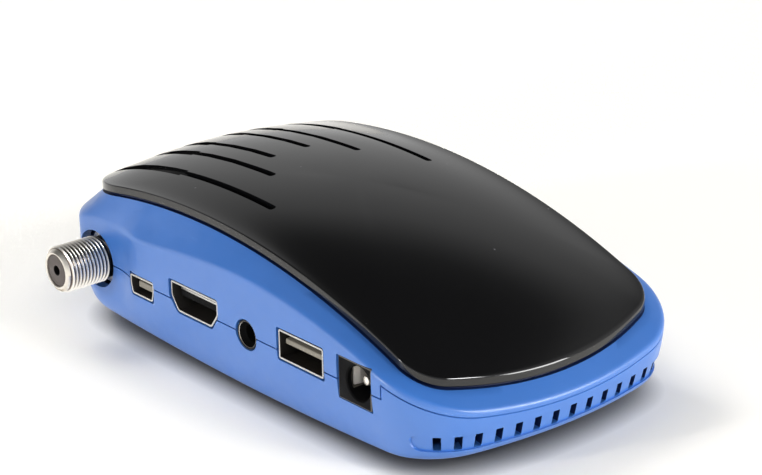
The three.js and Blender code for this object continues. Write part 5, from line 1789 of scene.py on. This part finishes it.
def floor_finish():
    """White card. It glows a little to the camera, but not under the case, and in mirror images."""
    finish, tree, shader = new_finish("pale_floor")
    # Painted contact shadow: the card's colour darkens close under the case.
    contact = tree.nodes.new("ShaderNodeAmbientOcclusion")
    contact.inputs["Distance"].default_value = CARD_SHADOW_REACH
    contact.inputs["Color"].default_value = FLOOR_COLOR
    tree.links.new(contact.outputs["Color"], shader.inputs["Base Color"])
    shader.inputs["Roughness"].default_value = 0.8
    shader.inputs["Emission Color"].default_value = (1, 1, 1, 1)
    rays = tree.nodes.new("ShaderNodeLightPath")
    # Painted contact shadow too: the glow to the camera fades close under the case.
    openness = tree.nodes.new("ShaderNodeAmbientOcclusion")
    openness.inputs["Distance"].default_value = CONTACT_REACH
    open_twice = number_node(tree, "MULTIPLY", openness.outputs["AO"], openness.outputs["AO"])
    seen = number_node(tree, "MULTIPLY", rays.outputs["Is Camera Ray"], open_twice)
    mirrored = number_node(tree, "MAXIMUM", rays.outputs["Is Glossy Ray"],
                           rays.outputs["Is Transmission Ray"])
    glow = number_node(tree, "ADD", number_node(tree, "MULTIPLY", seen, FLOOR_GLOW),
                       number_node(tree, "MULTIPLY", mirrored, MIRROR_GLOW))
    tree.links.new(glow, shader.inputs["Emission Strength"])
    return finish


bpy.ops.mesh.primitive_plane_add(size=FLOOR_SIZE)
floor = bpy.context.active_object
floor.name = "floor"
floor.data.materials.append(floor_finish())
print("floor:", FLOOR_SIZE, "m wide")

# %% [markdown]
# ### The world
# The world is white to the camera, while the light that it gives is brighter near the horizon and dim
# overhead, which is what the glossy cover mirrors. A soft dark screen stands in it in front of the
# aerial socket and somewhat above. The sloped shoulder mirrors that screen there, and keeps its deep
# blue. The Standard view shows the colours as they were set.

# %% Plain colours, and a sky that is bright low and dim overhead
SKY = [(0.0, 0.83), (0.04, 0.8), (0.09, 0.7), (0.17, 0.65), (0.3, 0.62), (0.5, 0.52),
       (0.62, 0.42), (0.69, 0.21), (0.75, 0.07), (0.84, 0.03), (1.0, 0.03)]

bpy.context.scene.view_settings.view_transform = "Standard"
world = bpy.data.worlds.new("soft_studio")
bpy.context.scene.world = world
world.use_nodes = True
tree = world.node_tree
background = tree.nodes["Background"]
direction = tree.nodes.new("ShaderNodeTexCoord")
split = tree.nodes.new("ShaderNodeSeparateXYZ")
tree.links.new(direction.outputs["Generated"], split.inputs["Vector"])
ramp = tree.nodes.new("ShaderNodeValToRGB")
tree.links.new(split.outputs["Z"], ramp.inputs["Fac"])
ramp.color_ramp.interpolation = "B_SPLINE"
elements = ramp.color_ramp.elements
while len(elements) < len(SKY):
    elements.new(0.5)
for element, (place, level) in zip(elements, SKY):
    element.position = place
    element.color = (level, level, level, 1)
tree.links.new(ramp.outputs["Color"], background.inputs["Color"])
print("sky levels from the horizon up:", [level for place, level in SKY])

# %% A dark screen in the sky
SCREEN_DIRECTION = (-0.72, -0.5, 0.48)
SCREEN_EDGE, SCREEN_CORE, SCREEN_LEVEL = math.radians(26), math.radians(12), 0.05

toward_screen = tree.nodes.new("ShaderNodeVectorMath")
toward_screen.operation = "DOT_PRODUCT"
toward_screen.inputs[1].default_value = SCREEN_DIRECTION
tree.links.new(direction.outputs["Generated"], toward_screen.inputs[0])
screen = tree.nodes.new("ShaderNodeMapRange")
screen.inputs["From Min"].default_value = math.cos(SCREEN_EDGE)
screen.inputs["From Max"].default_value = math.cos(SCREEN_CORE)
screen.inputs["To Min"].default_value = 1
screen.inputs["To Max"].default_value = SCREEN_LEVEL
tree.links.new(toward_screen.outputs["Value"], screen.inputs["Value"])
tree.links.new(screen.outputs["Result"], background.inputs["Strength"])
print("the screen's light at its middle:", SCREEN_LEVEL)

# %% White behind the object
white = tree.nodes.new("ShaderNodeBackground")
white.inputs["Color"].default_value = (1, 1, 1, 1)
seen = tree.nodes.new("ShaderNodeLightPath")
choose = tree.nodes.new("ShaderNodeMixShader")
tree.links.new(seen.outputs["Is Camera Ray"], choose.inputs["Fac"])
tree.links.new(background.outputs["Background"], choose.inputs[1])
tree.links.new(white.outputs["Background"], choose.inputs[2])
tree.links.new(choose.outputs["Shader"], tree.nodes["World Output"].inputs["Surface"])
print("world:", world.name, "with", len(tree.nodes), "nodes")

# %% [markdown]
# ### The lamps
# Small lamps near the horizon make the glints on the rim, the edges and the nickel. Wide lamps that
# mirrors don't show fill in the rest. The paper lamp is linked to the floor alone, so that the card
# gets white without the case getting pale.

# %% Soft lamps
LAMP_DISTANCE = 1.2


def soft_lamp(name, azimuth, elevation, distance, size, power, mirrored=True):
    """A square lamp round the object, placed in degrees and metres and aimed at its middle."""
    a, e = math.radians(azimuth), math.radians(elevation)
    toward_lamp = Vector((math.sin(a) * math.cos(e), -math.cos(a) * math.cos(e), math.sin(e)))
    bpy.ops.object.light_add(type="AREA", location=CAMERA_TARGET * MM + toward_lamp * distance)
    lamp = bpy.context.active_object
    lamp.name = name
    lamp.rotation_euler = toward_lamp.to_track_quat("Z", "Y").to_euler()
    lamp.data.size = size
    lamp.data.energy = power
    lamp.visible_glossy = mirrored
    return lamp


soft_lamp("glint", -15, 14, LAMP_DISTANCE, size=0.15, power=3)
soft_lamp("edge", 105, 30, LAMP_DISTANCE, size=0.2, power=4.5)
soft_lamp("side", 50, 35, LAMP_DISTANCE, size=0.6, power=3, mirrored=False)
soft_lamp("end", 120, 8, LAMP_DISTANCE, size=0.4, power=7)
soft_lamp("low", -50, 7, LAMP_DISTANCE, size=0.25, power=0.2)
soft_lamp("front", -15, 12, LAMP_DISTANCE, size=0.8, power=2.6, mirrored=False)
soft_lamp("top", -80, 60, LAMP_DISTANCE, size=0.8, power=1.2, mirrored=False)

# %% A lamp for the floor alone
paper_lamp = soft_lamp("paper", -85, 40, distance=3, size=1.1, power=42, mirrored=False)
paper_only = bpy.data.collections.new("lit_by_paper_lamp")
paper_only.objects.link(floor)
paper_lamp.light_linking.receiver_collection = paper_only
